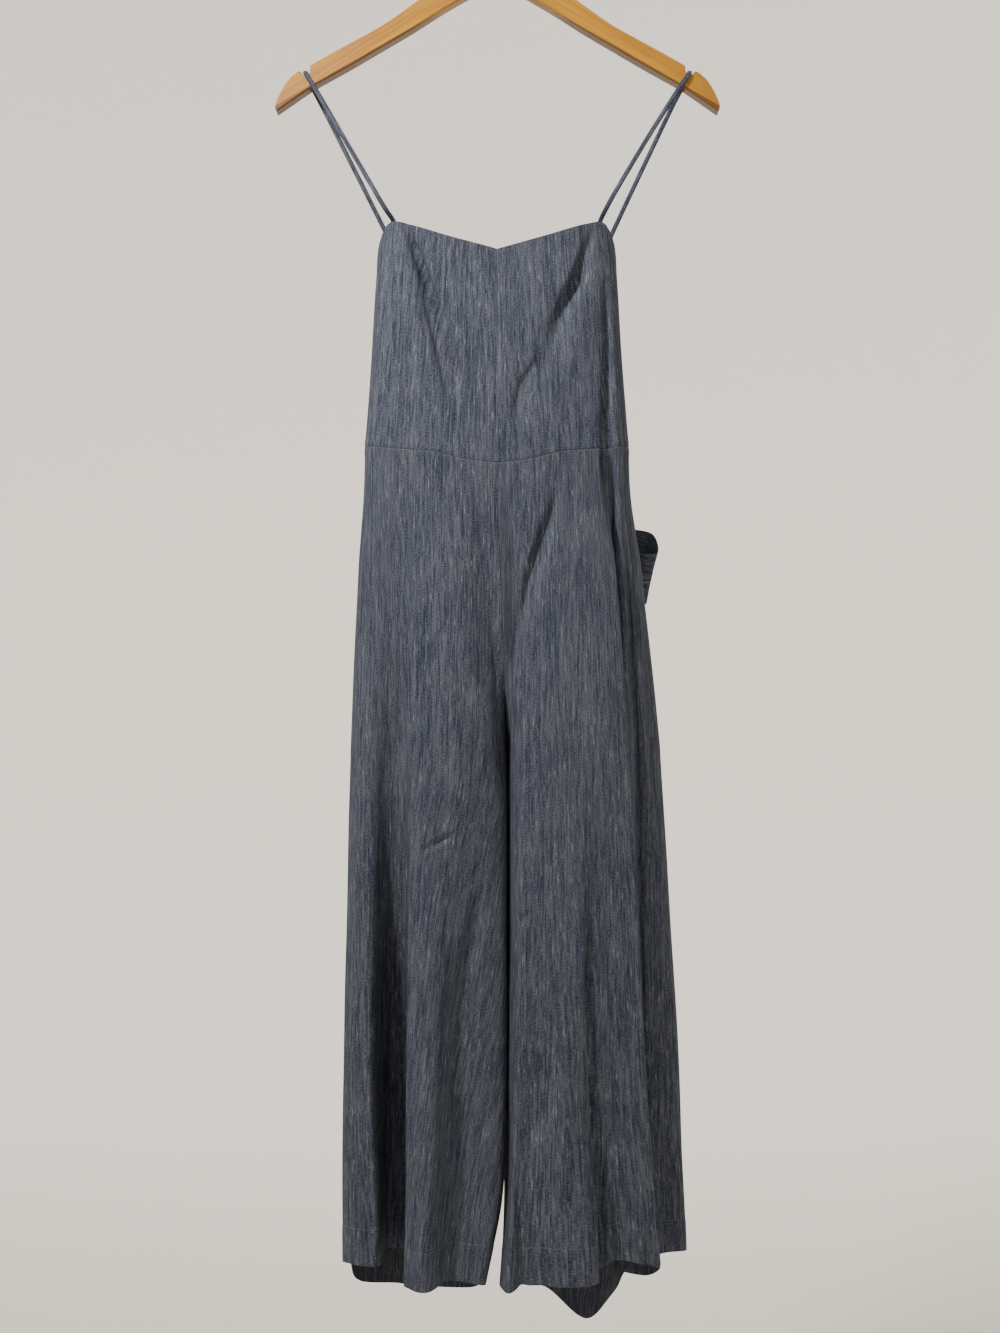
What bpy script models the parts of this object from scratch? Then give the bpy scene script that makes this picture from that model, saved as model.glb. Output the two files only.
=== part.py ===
"""Wide-leg one-piece with narrow straps, hung on a flat wooden coat hanger.

Tables and sizes are in millimetres and are scaled to metres when a mesh is made.
X runs to the right as the front is seen, +Y runs to the back of the garment, Z is up.
The origin is where a rail bears, at the top inside of the hanger's hook.
Left and right are as seen from the front.
"""

import math

import bmesh
import bpy
from mathutils import Vector

MM = 0.001

# Cloth: the walls and the clearance that seams keep
CLOTH_WALL = 1.4
TIE_WALL = 1.6
SEAM_GAP = 0.3

# Garment levels below the hook
CROTCH_Z = -855.0
CENTRE_X = -0.5
SECTION_POWER = 3.0

# Bodice section at each level: half width, front and back depth
SECTION_LEVELS = (
    # z, half_width, front_y, back_y
    (-337.0, 116.5, -27.0, 38.0),
    (-406.0, 121.8, -31.0, 44.0),
    (-462.0, 125.0, -34.0, 48.0),
    (-519.0, 129.0, -36.0, 52.0),
    (-565.0, 132.5, -38.0, 56.0),
    (-630.0, 136.0, -40.0, 58.0),
)

# Waist seam and bodice top edge, by share of the half round from centre front to centre back
WAIST_LINE = (
    # share, z
    (0.00, -576.5),
    (0.11, -572.0),
    (0.19, -565.5),
    (0.28, -562.5),
    (0.50, -557.0),
    (0.62, -575.0),
    (0.80, -612.0),
    (1.00, -625.0),
)
TOP_LINE = (
    # share, z
    (0.00, -366.5),
    (0.19, -352.0),
    (0.33, -340.0),
    (0.385, -336.5),
    (0.415, -339.5),
    (0.445, -352.0),
    (0.48, -370.0),
    (0.54, -392.0),
    (0.65, -411.0),
    (0.80, -424.0),
    (1.00, -431.0),
)

# Drape grooves on the front bodice: the path of each and its half width and depth
LEFT_DRAPE = (
    # z, x, half_width, depth
    (-343.0, -87.0, 4.0, 1.0),
    (-372.0, -79.0, 5.0, 4.5),
    (-406.0, -68.5, 6.0, 5.5),
    (-452.0, -55.0, 8.0, 5.0),
    (-498.0, -43.0, 9.0, 3.5),
    (-545.0, -39.0, 10.0, 0.0),
)
RIGHT_DRAPE = (
    # z, x, half_width, depth
    (-345.0, 93.0, 5.0, 1.0),
    (-373.0, 83.0, 6.0, 4.0),
    (-400.0, 75.0, 8.0, 5.5),
    (-420.0, 65.5, 9.0, 5.0),
    (-445.0, 61.0, 8.0, 3.0),
    (-496.0, 66.0, 8.0, 0.0),
)
SIDE_DRAPE = (
    # z, x, half_width, depth
    (-370.0, 106.0, 5.0, 0.0),
    (-440.0, 108.0, 5.0, 2.5),
    (-520.0, 108.5, 5.0, 4.0),
    (-565.0, 109.0, 5.0, 5.0),
)
DRAPES = (LEFT_DRAPE, RIGHT_DRAPE, SIDE_DRAPE)

# Fold lines of each leg, from centre front round the outside to centre back.
# share is where the line starts on the waist seam; x and y are its place at the
# crotch, the knee and the hem, and hem_z is how low the hem hangs there.
LEG_FOLDS = {
    "left": (
        # name, share, crotch_x, crotch_y, knee_x, knee_y, hem_x, hem_y, hem_z
        ("centre_front", 0.000, 8.5, 5.0, 1.0, 8.0, -18.0, 8.0, -1392.0),
        ("inner_fold", 0.050, 5.0, -31.0, 6.2, -40.0, -15.0, -47.0, -1369.0),
        ("inner_valley", 0.120, -22.0, -46.0, -37.0, -44.0, -44.0, -42.0, -1368.0),
        ("front_ridge", 0.220, -60.0, -50.0, -65.0, -60.0, -70.0, -64.0, -1366.0),
        ("lobe_edge", 0.295, -84.0, -44.0, -86.5, -49.0, -88.0, -49.0, -1367.0),
        ("turn_back", 0.320, -91.0, -29.0, -83.0, 2.0, -82.0, 4.0, -1363.0),
        ("recess", 0.350, -105.0, -22.0, -106.0, 12.0, -111.0, 16.0, -1364.0),
        ("outer_lobe", 0.400, -126.0, -27.0, -126.0, -35.0, -118.0, -35.0, -1357.0),
        ("outer_edge", 0.460, -145.0, -7.0, -153.0, -7.0, -153.0, -6.0, -1367.0),
        ("side_seam", 0.510, -147.0, 14.0, -152.0, 22.0, -151.0, 28.0, -1382.0),
        ("back_corner", 0.620, -132.0, 42.0, -144.0, 62.0, -146.0, 80.0, -1430.0),
        ("back_outer", 0.740, -96.0, 60.0, -104.0, 78.0, -108.0, 91.0, -1437.0),
        ("back_valley", 0.860, -50.0, 64.0, -56.0, 60.0, -62.0, 68.0, -1430.0),
        ("back_inner", 0.950, -4.0, 46.0, -17.0, 50.0, -26.0, 56.0, -1424.0),
        ("centre_back", 1.000, 8.5, 5.0, 1.0, 8.0, -18.0, 8.0, -1392.0),
    ),
    "right": (
        # name, share, crotch_x, crotch_y, knee_x, knee_y, hem_x, hem_y, hem_z
        ("centre_front", 0.000, 9.5, 5.0, 7.2, 8.0, 6.0, 8.0, -1392.0),
        ("inner_fold", 0.050, 15.0, -31.0, 12.6, -40.0, 4.0, -47.0, -1371.0),
        ("inner_lobe", 0.085, 23.0, -42.0, 17.0, -53.0, 11.0, -60.0, -1370.0),
        ("inner_valley", 0.120, 35.0, -47.0, 28.0, -52.0, 23.0, -53.0, -1367.0),
        ("front_ridge", 0.190, 57.0, -50.0, 59.0, -60.0, 60.0, -64.0, -1363.0),
        ("lobe_edge", 0.245, 79.0, -50.0, 91.5, -53.0, 100.0, -54.0, -1364.0),
        ("turn_back", 0.270, 90.0, -49.0, 95.0, -42.0, 98.0, -40.0, -1364.0),
        ("recess", 0.295, 101.0, -48.0, 107.0, -36.0, 114.0, -32.0, -1353.0),
        ("outer_lobe", 0.325, 116.0, -46.0, 128.0, -32.0, 143.5, -24.0, -1361.0),
        ("main_fold", 0.350, 128.0, -39.0, 146.5, -27.0, 161.0, -11.0, -1368.0),
        ("tuck", 0.375, 131.0, -24.0, 143.0, 2.0, 152.0, 33.0, -1400.0),
        ("tuck_end", 0.395, 135.0, -14.0, 136.0, 16.0, 122.0, 42.0, -1397.0),
        ("side_seam", 0.420, 144.0, -9.0, 155.0, 24.0, 160.0, 54.0, -1389.0),
        ("outer_edge", 0.470, 162.0, 8.0, 185.0, 36.0, 197.0, 63.0, -1389.0),
        ("outer_turn", 0.540, 165.0, 25.0, 188.0, 56.0, 195.0, 82.0, -1398.0),
        ("back_corner", 0.620, 148.0, 46.0, 159.0, 74.0, 144.0, 99.0, -1422.0),
        ("back_turn", 0.690, 128.0, 56.0, 134.0, 80.0, 126.0, 102.0, -1451.0),
        ("back_point", 0.780, 96.0, 62.0, 102.0, 72.0, 97.0, 90.0, -1475.0),
        ("back_valley", 0.870, 54.0, 64.0, 54.0, 71.0, 51.0, 84.0, -1438.0),
        ("back_inner", 0.950, 14.0, 46.0, 18.0, 48.0, 17.0, 56.0, -1420.0),
        ("centre_back", 1.000, 9.5, 5.0, 7.2, 8.0, 6.0, 8.0, -1392.0),
    ),
}
KNEE_STEP = 1.65
SHIN_STEP = 1.84
SHIN_SWING = 0.54
INNER_SHIN_SWING = 0.2
SEAM_LATE = 5.0
BACK_SEAM_SWAY = 4.0
LEG_STEPS = (0.2, 0.4, 0.6, 0.75, 0.86, 0.94, 1.0, 1.12, 1.26, 1.4, 1.54, 1.66, 1.78, 1.89, 2.0)
FOLD_COLUMNS = {"left": 3, "right": 2}
BODICE_ROWS = 7

# Straps: width, thickness and the way of each centre line
STRAP_WIDTH = 4.8
STRAP_THICKNESS = 2.6
STRAP_ROUTES = {
    "left": (
        # x, y, z
        (-111.0, -23.4, -324.0),
        (-140.5, -16.4, -272.0),
        (-170.5, -10.4, -219.0),
        (-183.0, -8.6, -197.5),
        (-188.8, -8.1, -188.4),
        (-190.8, -7.0, -183.9),
        (-191.4, -4.2, -182.5),
        (-191.4, 4.2, -182.5),
        (-190.8, 7.0, -183.9),
        (-188.0, 8.1, -189.0),
        (-181.5, 9.6, -200.5),
        (-150.0, 19.0, -261.0),
        (-118.0, 29.0, -323.0),
        (-86.0, 38.5, -386.0),
    ),
    "right": (
        # x, y, z
        (108.5, -23.6, -322.0),
        (137.5, -16.4, -270.5),
        (168.5, -10.4, -219.0),
        (182.2, -8.6, -197.5),
        (188.6, -8.1, -188.4),
        (190.8, -7.0, -183.9),
        (191.4, -4.2, -182.5),
        (191.4, 4.2, -182.5),
        (190.8, 7.0, -183.9),
        (187.6, 8.1, -189.0),
        (181.0, 9.6, -200.5),
        (152.0, 19.0, -259.0),
        (121.5, 29.0, -322.0),
        (92.0, 38.4, -384.0),
    ),
}
STRAP_FRONT_SHARE = 0.388
STRAP_BACK_SHARE = 0.765
STRAP_SEAT = 2.0
STRAP_SIDES = 8
STRAP_SAMPLES = 44

# Hanger: thickness of the board, its half outline and its hook
HANGER_THICKNESS = 12.0
HANGER_EDGE_ROUND = 1.5
HANGER_TOP = (
    # x, z
    (0.0, -62.0),
    (10.0, -62.6),
    (24.0, -70.0),
    (44.0, -85.5),
    (81.5, -112.5),
    (115.0, -136.0),
    (158.0, -159.5),
    (187.0, -176.0),
)
HANGER_NOTCH = (
    # x, z
    (187.6, -182.0),
    (188.4, -184.4),
    (194.6, -184.4),
    (195.9, -181.8),
)
HANGER_END = (
    # x, z
    (199.0, -181.8),
    (207.0, -188.2),
    (214.0, -198.0),
    (219.5, -209.0),
    (221.9, -217.0),
    (220.0, -221.8),
)
HANGER_BOTTOM = (
    # x, z
    (184.0, -196.8),
    (146.0, -175.8),
    (115.0, -157.6),
    (83.0, -138.8),
    (62.0, -125.2),
    (41.0, -112.6),
    (20.0, -101.5),
    (0.0, -97.0),
)
HOOK_WIRE = 4.2
HOOK_INNER_RADIUS = 17.0
HOOK_TIP_ANGLE = 200.0
HOOK_HEEL_ANGLE = -38.0
HOOK_FOOT_Z = -61.7

# Tie: ribbon round the back waist, with a bow of two loops and two tails
TIE_LIFT = 0.4
TIE_START_SHARE = 0.58
TIE_END_SHARE = {"left": 0.985, "right": 0.955}
TIE_BAND = (
    # share, z, width
    (0.58, -550.0, 26.0),
    (0.70, -571.0, 26.0),
    (0.80, -589.0, 25.0),
    (0.90, -599.0, 22.0),
    (0.96, -602.0, 18.0),
)
KNOT_CENTRE = (8.0, 68.6, -605.0)
KNOT_HALF = (11.0, 9.0, 13.0)
KNOT_SWELL = 1.15
KNOT_ROUND = 0.75
BOW_LOOPS = {
    "right": (
        # x, y, z, width, lean
        (20.5, 64.0, -607.0, 11.0, 0.0),
        (48.0, 65.0, -616.0, 34.0, 0.0),
        (90.0, 65.0, -637.0, 50.0, 3.0),
        (128.0, 57.0, -670.0, 46.0, 6.0),
        (151.0, 51.0, -683.0, 51.0, 9.0),
        (163.0, 58.0, -682.0, 54.0, 11.0),
        (158.0, 71.0, -666.0, 63.0, 10.0),
        (128.0, 80.0, -653.0, 54.0, 6.0),
        (90.0, 82.0, -632.0, 42.0, 0.0),
        (48.0, 78.0, -612.0, 27.0, 0.0),
        (20.5, 71.5, -604.0, 10.0, 0.0),
    ),
    "left": (
        # x, y, z, width, lean
        (-5.6, 64.0, -608.0, 11.0, 0.0),
        (-30.0, 66.0, -617.0, 34.0, 0.0),
        (-66.0, 66.0, -637.0, 46.0, 0.0),
        (-98.0, 66.0, -657.0, 48.0, 0.0),
        (-119.0, 69.0, -671.0, 48.0, 0.0),
        (-125.0, 77.0, -675.0, 48.0, 0.0),
        (-118.0, 85.0, -671.0, 48.0, 0.0),
        (-96.0, 88.0, -656.0, 46.0, 0.0),
        (-64.0, 87.0, -635.0, 40.0, 0.0),
        (-30.0, 79.0, -613.0, 27.0, 0.0),
        (-5.6, 71.5, -604.0, 10.0, 0.0),
    ),
}
LOOP_ACROSS = {"left": (0.45, 0.0, -1.0), "right": (-0.2, 0.0, -1.0)}
BOW_TAILS = {
    "right": (
        # x, y, z, width, lean
        (13.0, 65.5, -618.3, 13.0, 0.0),
        (19.0, 67.0, -650.0, 32.0, 0.0),
        (28.0, 70.0, -700.0, 44.0, 0.0),
        (36.0, 72.0, -760.0, 46.0, 0.0),
        (42.0, 76.0, -820.0, 46.0, 0.0),
        (46.0, 78.0, -880.0, 46.0, 0.0),
    ),
    "left": (
        # x, y, z, width, lean
        (3.0, 72.0, -618.2, 13.0, 0.0),
        (-4.0, 76.0, -650.0, 32.0, 0.0),
        (-15.0, 79.0, -700.0, 44.0, 0.0),
        (-24.0, 80.0, -750.0, 46.0, 0.0),
        (-31.0, 81.0, -800.0, 46.0, 0.0),
        (-36.0, 81.0, -845.0, 46.0, 0.0),
    ),
}
TAIL_ACROSS = {"left": (1.0, 0.0, -0.16), "right": (1.0, 0.0, 0.12)}
RIBBON_COLUMNS = 4
LOOP_SAMPLES = 34
TAIL_SAMPLES = 12

# Finishes
SLATE_CLOTH = (0.085, 0.105, 0.150)
HONEY_WOOD = (0.62, 0.34, 0.12)
BRIGHT_STEEL = (0.62, 0.62, 0.63)


def lerp(a, b, t):
    return a + (b - a) * t


def smooth(t):
    t = min(max(t, 0.0), 1.0)
    return t * t * (3.0 - 2.0 * t)


def read_curve(table, key):
    """The values of a table's row at a key, on a smooth curve through its rows."""
    keys = [row[0] for row in table]
    rising = keys[0] < keys[-1]
    rows = list(table) if rising else list(reversed(table))
    keys = [row[0] for row in rows]
    if key <= keys[0]:
        return rows[0][1:]
    if key >= keys[-1]:
        return rows[-1][1:]
    at = max(i for i in range(len(rows) - 1) if keys[i] <= key)
    span = keys[at + 1] - keys[at]
    t = (key - keys[at]) / span
    values = []
    for c in range(1, len(rows[0])):
        slopes = []
        for k in (at, at + 1):
            low = max(k - 1, 0)
            high = min(k + 1, len(rows) - 1)
            slopes.append((rows[high][c] - rows[low][c]) / (keys[high] - keys[low]) * span)
        values.append(hermite(rows[at][c], rows[at + 1][c], slopes[0], slopes[1], t))
    return tuple(values)


def hermite(a, b, slope_a, slope_b, t):
    t2 = t * t
    t3 = t2 * t
    return (
        a * (2 * t3 - 3 * t2 + 1)
        + slope_a * (t3 - 2 * t2 + t)
        + b * (3 * t2 - 2 * t3)
        + slope_b * (t3 - t2)
    )


def spline_point(points, t):
    """A point between points[1] and points[2], on a curve that rounds long and short gaps evenly."""
    before, first, second, after = points
    gaps = [max((q - p).length, 1e-6) ** 0.5 for p, q in ((before, first), (first, second), (second, after))]
    leave = ((first - before) / gaps[0] - (second - before) / (gaps[0] + gaps[1])) * gaps[1]
    leave += second - first
    arrive = ((after - second) / gaps[2] - (after - first) / (gaps[1] + gaps[2])) * gaps[1]
    arrive += second - first
    return Vector(hermite(first[k], second[k], leave[k], arrive[k], t) for k in range(len(first)))


def curve_through(points, samples):
    """Points evenly spread over the gaps of a smooth open curve."""
    ends = [points[0] * 2 - points[1]] + list(points) + [points[-1] * 2 - points[-2]]
    result = []
    for i in range(samples + 1):
        place = i / samples * (len(points) - 1)
        at = min(int(place), len(points) - 2)
        result.append(spline_point(ends[at:at + 4], place - at))
    return result


# The body section

def half_section(half_width, front_y, back_y, steps=60):
    """The half round from centre front to centre back, as x outward and y."""
    middle = lerp(front_y, back_y, 0.45)
    points = []
    for i in range(steps + 1):
        angle = math.pi * i / steps
        across = abs(math.sin(angle)) ** (2.0 / SECTION_POWER)
        along = abs(math.cos(angle)) ** (2.0 / SECTION_POWER)
        reach = (front_y if math.cos(angle) > 0 else back_y) - middle
        points.append(Vector((half_width * across, middle + reach * along)))
    return points


def along_section(points, share):
    """The point at a share of the length of a run of points."""
    lengths = [(b - a).length for a, b in zip(points, points[1:])]
    left = share * sum(lengths)
    for a, b, length in zip(points, points[1:], lengths):
        if left <= length:
            return a.lerp(b, left / length)
        left -= length
    return points[-1].copy()


def drape_depth(x, z):
    """How far the drape grooves press the front bodice in."""
    total = 0.0
    for drape in DRAPES:
        if drape[-1][0] - 30.0 <= z <= drape[0][0] + 10.0:
            path_x, half_width, depth = read_curve(drape, z)
            total += max(depth, 0.0) * math.exp(-((x - path_x) / half_width) ** 2)
    return total


def body_point(side, share, z):
    """A point of the bodice or waist on one side, at a share of the half round."""
    half_width, front_y, back_y = read_curve(SECTION_LEVELS, z)
    flat = along_section(half_section(half_width, front_y, back_y), share)
    out = -1.0 if side == "left" else 1.0
    x = CENTRE_X + out * flat.x
    y = flat.y
    if share < 0.5:
        y += drape_depth(x, z) * smooth((0.5 - share) / 0.1)
    return Vector((x, y, z))


# The legs

def leg_line(side, row, step):
    """The place of one fold line at a step: 0 is the waist, 1 the crotch and 2 the hem."""
    name, share = row[0], row[1]
    waist_z = read_curve(WAIST_LINE, share)[0]
    waist = body_point(side, share, waist_z)
    crotch = Vector((row[2], row[3]))
    knee = Vector((row[4], row[5]))
    hem = Vector((row[6], row[7]))
    hem_z = row[8]
    if name.startswith("centre"):
        if step <= 1.0:
            x = lerp(waist.x, crotch.x, step)
            y = lerp(waist.y, crotch.y, step ** SEAM_LATE)
            if name == "centre_back":
                x += BACK_SEAM_SWAY * math.sin(math.pi * step * step)
            return Vector((x, y, lerp(waist_z, CROTCH_Z, step)))
        waist = Vector((crotch.x * 2 - knee.x, crotch.y * 2 - knee.y, 0.0))
    swing = INNER_SHIN_SWING if share <= 0.05 else SHIN_SWING
    shin = knee.lerp(hem, swing)
    table = (
        (0.0, waist.x, waist.y),
        (1.0, crotch.x, crotch.y),
        (KNEE_STEP, knee.x, knee.y),
        (SHIN_STEP, shin.x, shin.y),
        (2.0, hem.x, hem.y),
    )
    x, y = read_curve(table, step)
    if step <= 1.0:
        return Vector((x, y, lerp(waist_z, CROTCH_Z, step)))
    return Vector((x, y, lerp(CROTCH_Z, hem_z, step - 1.0)))


def leg_ring(side, step):
    """Points round one leg at a step, with the same number between each two fold lines."""
    lines = [leg_line(side, row, step) for row in LEG_FOLDS[side]]
    closing = smooth((step - 0.8) / 0.25)
    before = mirrored(lines[0], lines[1]).lerp(lines[-2], closing)
    after = mirrored(lines[-1], lines[-2]).lerp(lines[1], closing)
    ends = [before] + lines + [after]
    columns = FOLD_COLUMNS[side]
    ring = []
    for at in range(len(lines) - 1):
        for c in range(columns):
            ring.append(spline_point(ends[at:at + 4], c / columns))
    ring.append(lines[-1])
    settled = smooth(step / 0.4)
    if settled < 1.0:
        for place, share in enumerate(column_shares(side)):
            waist_z = read_curve(WAIST_LINE, share)[0]
            z = lerp(waist_z, CROTCH_Z, step)
            plain = body_point(side, share, waist_z)
            ring[place] = Vector((plain.x, plain.y, z)).lerp(ring[place], settled)
    return ring


def mirrored(seam, beside):
    """The point that would lie across the centre seam."""
    return Vector((2 * seam.x - beside.x, beside.y, beside.z))


def column_shares(side):
    """The share of the half round at which each column of the cloth starts on the waist."""
    starts = [row[1] for row in LEG_FOLDS[side]]
    columns = FOLD_COLUMNS[side]
    shares = []
    for a, b in zip(starts, starts[1:]):
        shares += [lerp(a, b, c / columns) for c in range(columns)]
    return shares + [starts[-1]]


def bodice_ring(side, fall):
    """Points round one side of the bodice, from its top edge at 0 to the waist seam at 1."""
    ring = []
    for share in column_shares(side):
        top = read_curve(TOP_LINE, share)[0]
        waist = read_curve(WAIST_LINE, share)[0]
        ring.append(body_point(side, share, lerp(top, waist, fall)))
    return ring


def side_surface(side):
    """The outer face of one side of the garment: points and outward directions, top edge to hem."""
    rings = [bodice_ring(side, r / BODICE_ROWS) for r in range(BODICE_ROWS + 1)]
    closings = [0.0] * len(rings)
    for step in LEG_STEPS:
        rings.append(leg_ring(side, step))
        closings.append(smooth((step - 0.8) / 0.25))
    outward = 1.0 if side == "left" else -1.0
    normals = []
    for r, ring in enumerate(rings):
        above = rings[max(r - 1, 0)]
        below = rings[min(r + 1, len(rings) - 1)]
        before = mirrored(ring[0], ring[1]).lerp(ring[-2], closings[r])
        after = mirrored(ring[-1], ring[-2]).lerp(ring[1], closings[r])
        wide = [before] + ring + [after]
        line = []
        for c in range(len(ring)):
            across = wide[c + 2] - wide[c]
            line.append(across.cross(below[c] - above[c]).normalized() * outward)
        normals.append(line)
    return rings, normals


# Walls

def surface_normals(grid):
    """The direction square to each point of a grid of rows down and columns across."""
    rows = len(grid)
    columns = len(grid[0])
    normals = []
    for r in range(rows):
        line = []
        for c in range(columns):
            down = grid[min(r + 1, rows - 1)][c] - grid[max(r - 1, 0)][c]
            across = grid[r][min(c + 1, columns - 1)] - grid[r][max(c - 1, 0)]
            line.append(across.cross(down).normalized())
        normals.append(line)
    return normals


def trimmed(grid):
    """The grid with its border drawn in by half of the seam gap."""
    half = SEAM_GAP / 2
    result = [[p.copy() for p in row] for row in grid]
    for row in result:
        row[0] += (row[1] - row[0]).normalized() * half
        row[-1] += (row[-2] - row[-1]).normalized() * half
    for c in range(len(result[0])):
        result[0][c] += (result[1][c] - result[0][c]).normalized() * half
        result[-1][c] += (result[-2][c] - result[-1][c]).normalized() * half
    return result


def wall_mesh(name, grid, normals, wall):
    """One closed wall: the grid is its outer face, and the inner face lies a wall inside."""
    mesh = bpy.data.meshes.new(name)
    work = bmesh.new()
    faces = []
    for depth in (0.0, wall):
        faces.append([
            [work.verts.new((p - n * depth) * MM) for p, n in zip(points, lines)]
            for points, lines in zip(grid, normals)
        ])
    outer, inner = faces
    rows = len(grid)
    columns = len(grid[0])
    for r in range(rows - 1):
        for c in range(columns - 1):
            for sheet in faces:
                work.faces.new((sheet[r][c], sheet[r][c + 1], sheet[r + 1][c + 1], sheet[r + 1][c]))
    border = [(0, c) for c in range(columns)]
    border += [(r, columns - 1) for r in range(1, rows)]
    border += [(rows - 1, c) for c in range(columns - 2, -1, -1)]
    border += [(r, 0) for r in range(rows - 2, 0, -1)]
    for (r0, c0), (r1, c1) in zip(border, border[1:] + border[:1]):
        work.faces.new((outer[r0][c0], outer[r1][c1], inner[r1][c1], inner[r0][c0]))
    bmesh.ops.recalc_face_normals(work, faces=work.faces)
    work.to_mesh(mesh)
    work.free()
    return mesh


def add_object(name, mesh, material):
    """Places a finished mesh in the scene, smooth but for its true edges."""
    item = bpy.data.objects.new(name, mesh)
    bpy.context.scene.collection.objects.link(item)
    mesh.materials.append(material)
    mesh.shade_smooth()
    mesh.set_sharp_from_angle(angle=math.radians(50.0))
    return item


def make_material(name, colour, roughness, metallic=0.0):
    material = bpy.data.materials.new(name)
    material.use_nodes = True
    shader = material.node_tree.nodes["Principled BSDF"]
    shader.inputs["Base Color"].default_value = (*colour, 1.0)
    shader.inputs["Roughness"].default_value = roughness
    shader.inputs["Metallic"].default_value = metallic
    return material


# Garment pieces

def seam_column(side):
    """The column that the side seam follows from the armhole to the hem."""
    names = [row[0] for row in LEG_FOLDS[side]]
    return names.index("side_seam") * FOLD_COLUMNS[side]


def cut(surface, rows, columns):
    """The part of a surface between two rows and two columns."""
    return [[line[c] for c in columns] for line in surface[rows[0]:rows[1] + 1]]


def build_garment(cloth):
    """The four leg panels and the two bodice panels, cut from the two sides' surfaces."""
    bodice = {"front_bodice": [], "back_bodice": []}
    for side in ("left", "right"):
        rings, normals = side_surface(side)
        seam = seam_column(side)
        last = len(rings[0]) - 1
        legs = (BODICE_ROWS, len(rings) - 1)
        for label, columns in (("front", range(0, seam + 1)), ("back", range(seam, last + 1))):
            name = f"{label}_leg_{side}"
            grid = trimmed(cut(rings, legs, columns))
            add_object(name, wall_mesh(name, grid, cut(normals, legs, columns), CLOTH_WALL), cloth)
        top = (0, BODICE_ROWS)
        bodice["front_bodice"].append([cut(s, top, range(seam, -1, -1)) for s in (rings, normals)])
        bodice["back_bodice"].append([cut(s, top, range(seam, last + 1)) for s in (rings, normals)])
    for name, (left, right) in bodice.items():
        grid, normals = (join_halves(a, b) for a, b in zip(left, right))
        add_object(name, wall_mesh(name, trimmed(grid), normals, CLOTH_WALL), cloth)


def join_halves(left, right):
    """One panel's rows across the middle, from the left seam to the right seam."""
    return [a + list(reversed(b))[1:] for a, b in zip(left, right)]


def build_strap(side, cloth):
    """A rolled strap: an oval swept along its way over the hanger."""
    ends = [strap_end(side, share) for share in (STRAP_FRONT_SHARE, STRAP_BACK_SHARE)]
    route = [ends[0]] + [Vector(p) for p in STRAP_ROUTES[side]] + [ends[1]]
    centres = curve_through(route, STRAP_SAMPLES)
    mesh = bpy.data.meshes.new(f"strap_{side}")
    work = bmesh.new()
    rings = []
    for i, centre in enumerate(centres):
        ahead = (centres[min(i + 1, len(centres) - 1)] - centres[max(i - 1, 0)]).normalized()
        broad = strap_broad(ahead)
        thick = ahead.cross(broad).normalized()
        ring = []
        for k in range(STRAP_SIDES):
            angle = 2 * math.pi * (k + 0.5) / STRAP_SIDES
            offset = broad * math.cos(angle) * STRAP_WIDTH / 2 + thick * math.sin(angle) * STRAP_THICKNESS / 2
            ring.append(work.verts.new((centre + offset) * MM))
        rings.append(ring)
    for first, second in zip(rings, rings[1:]):
        for k in range(STRAP_SIDES):
            n = (k + 1) % STRAP_SIDES
            work.faces.new((first[k], first[n], second[n], second[k]))
    work.faces.new(rings[0])
    work.faces.new(rings[-1])
    bmesh.ops.recalc_face_normals(work, faces=work.faces)
    work.to_mesh(mesh)
    work.free()
    add_object(f"strap_{side}", mesh, cloth)


def strap_end(side, share):
    """Where a strap meets the middle of the bodice wall, just above its top edge."""
    edge = body_point(side, share, read_curve(TOP_LINE, share)[0])
    inward = 1.0 if share < 0.5 else -1.0
    return edge + Vector((0.0, inward * CLOTH_WALL / 2, STRAP_SEAT))


def strap_broad(ahead):
    """The broad way of a strap: level along the hanger's board, square to its run."""
    level = Vector((1.0, 0.0, 0.0))
    return (level - ahead * level.dot(ahead)).normalized()


# Tie and bow

def ribbon_grid(rows, samples, broad_way):
    """A ribbon's points: down its length, then across its width, which may lean in depth."""
    path = curve_through([Vector(row[:3]) for row in rows], samples)
    sizes = curve_through([Vector((row[3], row[4], 0.0)) for row in rows], samples)
    across = Vector(broad_way).normalized()
    grid = []
    for i, centre in enumerate(path):
        width, lean = sizes[i].x, sizes[i].y
        row = []
        for c in range(RIBBON_COLUMNS + 1):
            share = c / RIBBON_COLUMNS - 0.5
            row.append(centre + across * width * share + Vector((0.0, lean * share, 0.0)))
        grid.append(row)
    return grid


def build_ribbon(name, rows, samples, broad_way, cloth):
    grid = ribbon_grid(rows, samples, broad_way)
    add_object(name, wall_mesh(name, grid, surface_normals(grid), TIE_WALL), cloth)


def build_bow(cloth):
    for side in ("left", "right"):
        build_ribbon(f"bow_loop_{side}", BOW_LOOPS[side], LOOP_SAMPLES, LOOP_ACROSS[side], cloth)
        build_ribbon(f"bow_tail_{side}", BOW_TAILS[side], TAIL_SAMPLES, TAIL_ACROSS[side], cloth)
    mesh = bpy.data.meshes.new("bow_knot")
    work = bmesh.new()
    bmesh.ops.create_cube(work, size=2.0)
    bmesh.ops.subdivide_edges(work, edges=work.edges, cuts=3, use_grid_fill=True)
    for vert in work.verts:
        swollen = vert.co.lerp(vert.co.normalized() * KNOT_SWELL, KNOT_ROUND)
        vert.co = Vector(KNOT_CENTRE[k] + swollen[k] * KNOT_HALF[k] for k in range(3)) * MM
    bmesh.ops.recalc_face_normals(work, faces=work.faces)
    work.to_mesh(mesh)
    work.free()
    add_object("bow_knot", mesh, cloth)


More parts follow.
